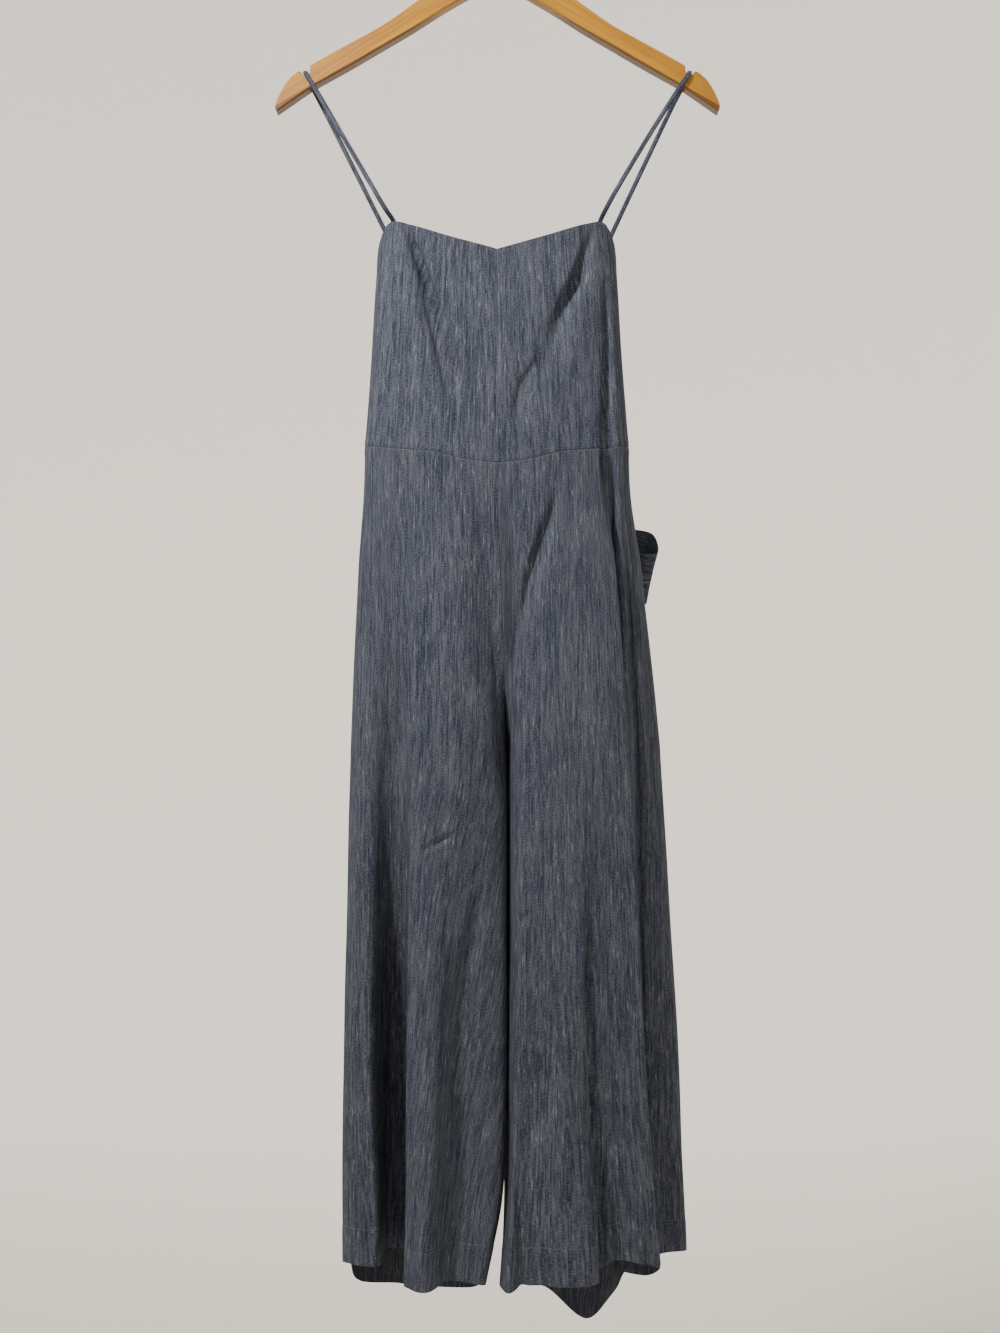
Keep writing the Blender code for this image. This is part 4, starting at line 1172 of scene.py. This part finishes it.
def ribbon_surface(rows, samples, broad_way, knots, map_start):
    """A ribbon's points, with pleats that open away from the knot at each end that has one."""
    path = curve_through([row[:3] for row in rows], samples)
    sizes = curve_through([row[3:] for row in rows], samples)
    across = unit(np.array(broad_way, dtype=float))
    share = np.linspace(-0.5, 0.5, RIBBON_COLUMNS + 1)
    lean = np.array((0.0, 1.0, 0.0))
    grid = path[:, None] + across * (sizes[:, 0:1] * share)[..., None]
    grid = grid + lean * (sizes[:, 1:2] * share)[..., None]
    normals = unit(np.cross(np.gradient(grid, axis=1), np.gradient(grid, axis=0)))
    run = along_rows(path[None])[0]
    near = np.exp(-run / PLEAT_REACH)
    if knots == 2:
        near = near + np.exp(-(run[-1] - run) / PLEAT_REACH)
    pleat = np.cos(2 * math.pi * PLEAT_COUNT * share)
    swing = np.sin(run / SWAY_LENGTH)[:, None] * np.sin(math.pi * (share + 0.5))[None, :]
    lift = PLEAT_HEIGHT * near[:, None] * pleat[None, :] * smooth(run / PLEAT_ONSET)[:, None]
    lift = lift - RIBBON_SWAY * swing
    maps = np.stack(np.broadcast_arrays(share[None, :] * 46.0, run[:, None]), axis=-1)
    return grid + normals * (lift - PLEAT_HEIGHT * 0.5)[..., None], normals, maps + map_start


def build_bow(cloth):
    for side in ("left", "right"):
        loop = ribbon_surface(BOW_LOOPS[side], LOOP_SAMPLES, LOOP_ACROSS[side], 2, MAP_STARTS["loop"])
        shell_piece(f"bow_loop_{side}", cloth, RIBBON_THICKNESS, *loop)
        tail = ribbon_surface(BOW_TAILS[side], TAIL_SAMPLES, TAIL_ACROSS[side], 1, MAP_STARTS["tail"])
        shell_piece(f"bow_tail_{side}", cloth, RIBBON_THICKNESS, *tail)


def build_knot(cloth):
    """The knot: a band drawn tight round the ribbons, swollen and pleated."""
    rows, columns = KNOT_FINENESS
    polar = np.linspace(KNOT_END, math.pi - KNOT_END, rows)[:, None]
    turn = np.linspace(0.0, 2 * math.pi, columns + 1)[None, :]
    waves = (np.sin(polar) * np.cos(turn), np.sin(polar) * np.sin(turn), np.cos(polar) + 0.0 * turn)
    box = [fuller(wave, KNOT_POWER) for wave in waves]
    swell = 1.0 + 0.05 * np.cos(turn * 2) + 0.055 * np.cos(9.0 * box[0] + 1.2 * np.sin(3 * polar))
    half = np.array(KNOT_HALF) * lerp(1.0, KNOT_SWELL, KNOT_ROUND) * KNOT_FIT
    grid = np.stack([KNOT_CENTRE[k] + box[k] * half[k] * swell for k in range(3)], axis=-1)
    flat = quads_of(rows, columns + 1)[:, ::-1]
    faces = closed_round(flat, columns)
    faces += [tuple(range(columns)), tuple(range(rows * columns - 1, (rows - 1) * columns - 1, -1))]
    ways = np.broadcast_arrays(turn * 9.0 + MAP_STARTS["knot"], polar * 12.0)
    maps = np.stack(ways, axis=-1).reshape(-1, 2)
    corner_uv = np.concatenate((maps[flat].reshape(-1, 2), np.repeat(maps[[0, -1]], columns, axis=0)))
    new_piece("bow_knot", grid[:, :-1].reshape(-1, 3), faces, corner_uv, cloth, sharp_rim=False)


def build_tie_bands(cloth):
    """The ties lie on the back bodice, from near the side seams to the knot."""
    for side in ("left", "right"):
        shares = column_shares(side)
        shares = shares[(shares >= TIE_START_SHARE) & (shares <= TIE_END_SHARE[side])]
        shares = np.linspace(shares[0], shares[-1], BAND_SAMPLES)
        z, width = read_curve(TIE_BAND, shares)
        place = np.linspace(0.5, -0.5, RIBBON_COLUMNS + 1)[:, None]
        levels = z[None, :] + width[None, :] * place
        base = body_places(side, shares, levels)
        beside = body_places(side, shares + 0.01, levels) - body_places(side, shares - 0.01, levels)
        out = unit(np.stack((-beside[..., 1], beside[..., 0], 0.0 * beside[..., 0]), axis=-1))
        out = out * np.where(out[..., 1:2] < 0, -1.0, 1.0)
        gather = smooth((shares - GATHER_FROM) / GATHER_SPAN)[None, :]
        pleat = BAND_PLEAT * np.cos(2 * math.pi * PLEAT_COUNT * place) * gather
        pleat = pleat + BAND_WAVE * np.sin(shares * 60.0)[None, :] * (0.25 - place ** 2)
        grid = base + out * (TIE_LIFT + TIE_WALL + pleat)[..., None]
        run = along_rows(grid)
        maps = np.stack((place * 26.0 + 0.0 * run, run), axis=-1)
        shell_piece(f"tie_band_{side}", cloth, RIBBON_THICKNESS, grid, out, maps + MAP_STARTS["band"])


# Sewing

def stitch_nodes(thread):
    """Node group that lays a thread on each point of a row."""
    group = bpy.data.node_groups.new("Row of stitches", "GeometryNodeTree")
    face = group.interface
    face.new_socket("Geometry", in_out="INPUT", socket_type="NodeSocketGeometry")
    length = face.new_socket("Thread length", in_out="INPUT", socket_type="NodeSocketFloat")
    radius = face.new_socket("Thread radius", in_out="INPUT", socket_type="NodeSocketFloat")
    face.new_socket("Geometry", in_out="OUTPUT", socket_type="NodeSocketGeometry")

    def add(kind, inputs, output=0, **settings):
        return add_node(group, kind, settings, inputs).outputs[output]

    entry = add_node(group, "NodeGroupInput", {}, {}).outputs
    half = add("ShaderNodeMath", {0: entry["Thread length"], 1: 0.5}, operation="MULTIPLY")
    wide = entry["Thread radius"]
    size = add("ShaderNodeCombineXYZ", {"X": wide, "Y": wide, "Z": half})
    bead = add("GeometryNodeMeshUVSphere", {"Segments": 6, "Rings": 5, "Radius": 1.0}, "Mesh")
    thread_form = add("GeometryNodeTransform", {"Geometry": bead, "Scale": size})
    along, out = (
        add("GeometryNodeInputNamedAttribute", {"Name": name}, "Attribute", data_type="FLOAT_VECTOR")
        for name in ("along", "out")
    )
    turn = add("FunctionNodeAxesToRotation", {0: along, 1: out}, primary_axis="Z", secondary_axis="X")
    rows = {"Points": entry["Geometry"], "Instance": thread_form, "Rotation": turn}
    real = add("GeometryNodeRealizeInstances", {0: add("GeometryNodeInstanceOnPoints", rows)})
    dressed = add("GeometryNodeSetMaterial", {"Geometry": real, "Material": thread})
    add_node(group, "NodeGroupOutput", {}, {0: add("GeometryNodeSetShadeSmooth", {0: dressed})})
    return group, length.identifier, radius.identifier


def read_places(marks, keys, points):
    """Places at the marks on a line whose points have the given keys."""
    return np.stack([np.interp(marks, keys, points[:, k]) for k in range(3)], axis=-1)


def resample(points, normals, pitch):
    """Evenly spaced places along a line, with their directions and normals."""
    run = along_rows(points[None])[0]
    marks = np.arange(pitch / 2, run[-1], pitch)
    ahead = read_places(marks + 0.5, run, points) - read_places(marks - 0.5, run, points)
    return read_places(marks, run, points), unit(ahead), unit(read_places(marks, run, normals))


def stitch_piece(name, lines, recipe):
    """A piece of stitches along one or more lines of points and normals."""
    group, length_id, radius_id = recipe
    parts = [resample(points, normals, STITCH_PITCH) for points, normals in lines]
    places, along, out = (np.concatenate(found) for found in zip(*parts))
    mesh = bpy.data.meshes.new(name)
    mesh.from_pydata(((places + out * STITCH_RADIUS * STITCH_LIFT) * MM).tolist(), [], [])
    for label, vectors in (("along", along), ("out", out)):
        attribute = mesh.attributes.new(label, "FLOAT_VECTOR", "POINT")
        attribute.data.foreach_set("vector", vectors.reshape(-1).astype(np.float32))
    guide = new_object(f"{name}_guide", mesh)
    modifier = guide.modifiers.new("Stitches", "NODES")
    modifier.node_group = group
    modifier[length_id] = STITCH_LENGTH * MM
    modifier[radius_id] = STITCH_RADIUS * MM
    bpy.context.view_layer.update()
    evaluated = guide.evaluated_get(bpy.context.evaluated_depsgraph_get())
    made = bpy.data.meshes.new_from_object(evaluated)
    bpy.data.objects.remove(guide)
    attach(new_object(name, made), BODY)


def level_line(grid, values, heights):
    """The values of a grid's columns where each column passes its own height."""
    columns = zip(heights, grid.swapaxes(0, 1), values.swapaxes(0, 1))
    return np.array([read_places(-height, -places[:, 2], found) for height, places, found in columns])


def build_stitches(sides, thread):
    recipe = stitch_nodes(thread)
    waist = []
    for side, (outer, normals, waist_row) in sides.items():
        leg = outer[waist_row:]
        heights = leg[-1, :, 2] + HEM_TURN
        out = unit(level_line(leg, normals[waist_row:], heights))
        stitch_piece(f"hem_stitches_{side}", [(level_line(leg, leg, heights), out)], recipe)
        below = level_line(leg[:12], leg[:12], leg[0, :, 2] - SEAM_STITCH_DROP)
        waist.append((below, normals[waist_row]))
    stitch_piece("waist_stitches", waist, recipe)


# Making

set_camera()
set_lights()
build_stage()
chambray = chambray_material()
garment_sides = build_garment(chambray)
for strap_side in ("left", "right"):
    build_strap(strap_side, chambray)
build_tie_bands(chambray)
build_bow(chambray)
build_knot(chambray)
build_stitches(garment_sides, thread_material())
for node_name, finish in (("hanger_board", wood_material()), ("hanger_hook", steel_material())):
    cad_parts[node_name].data.materials.clear()
    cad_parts[node_name].data.materials.append(finish)
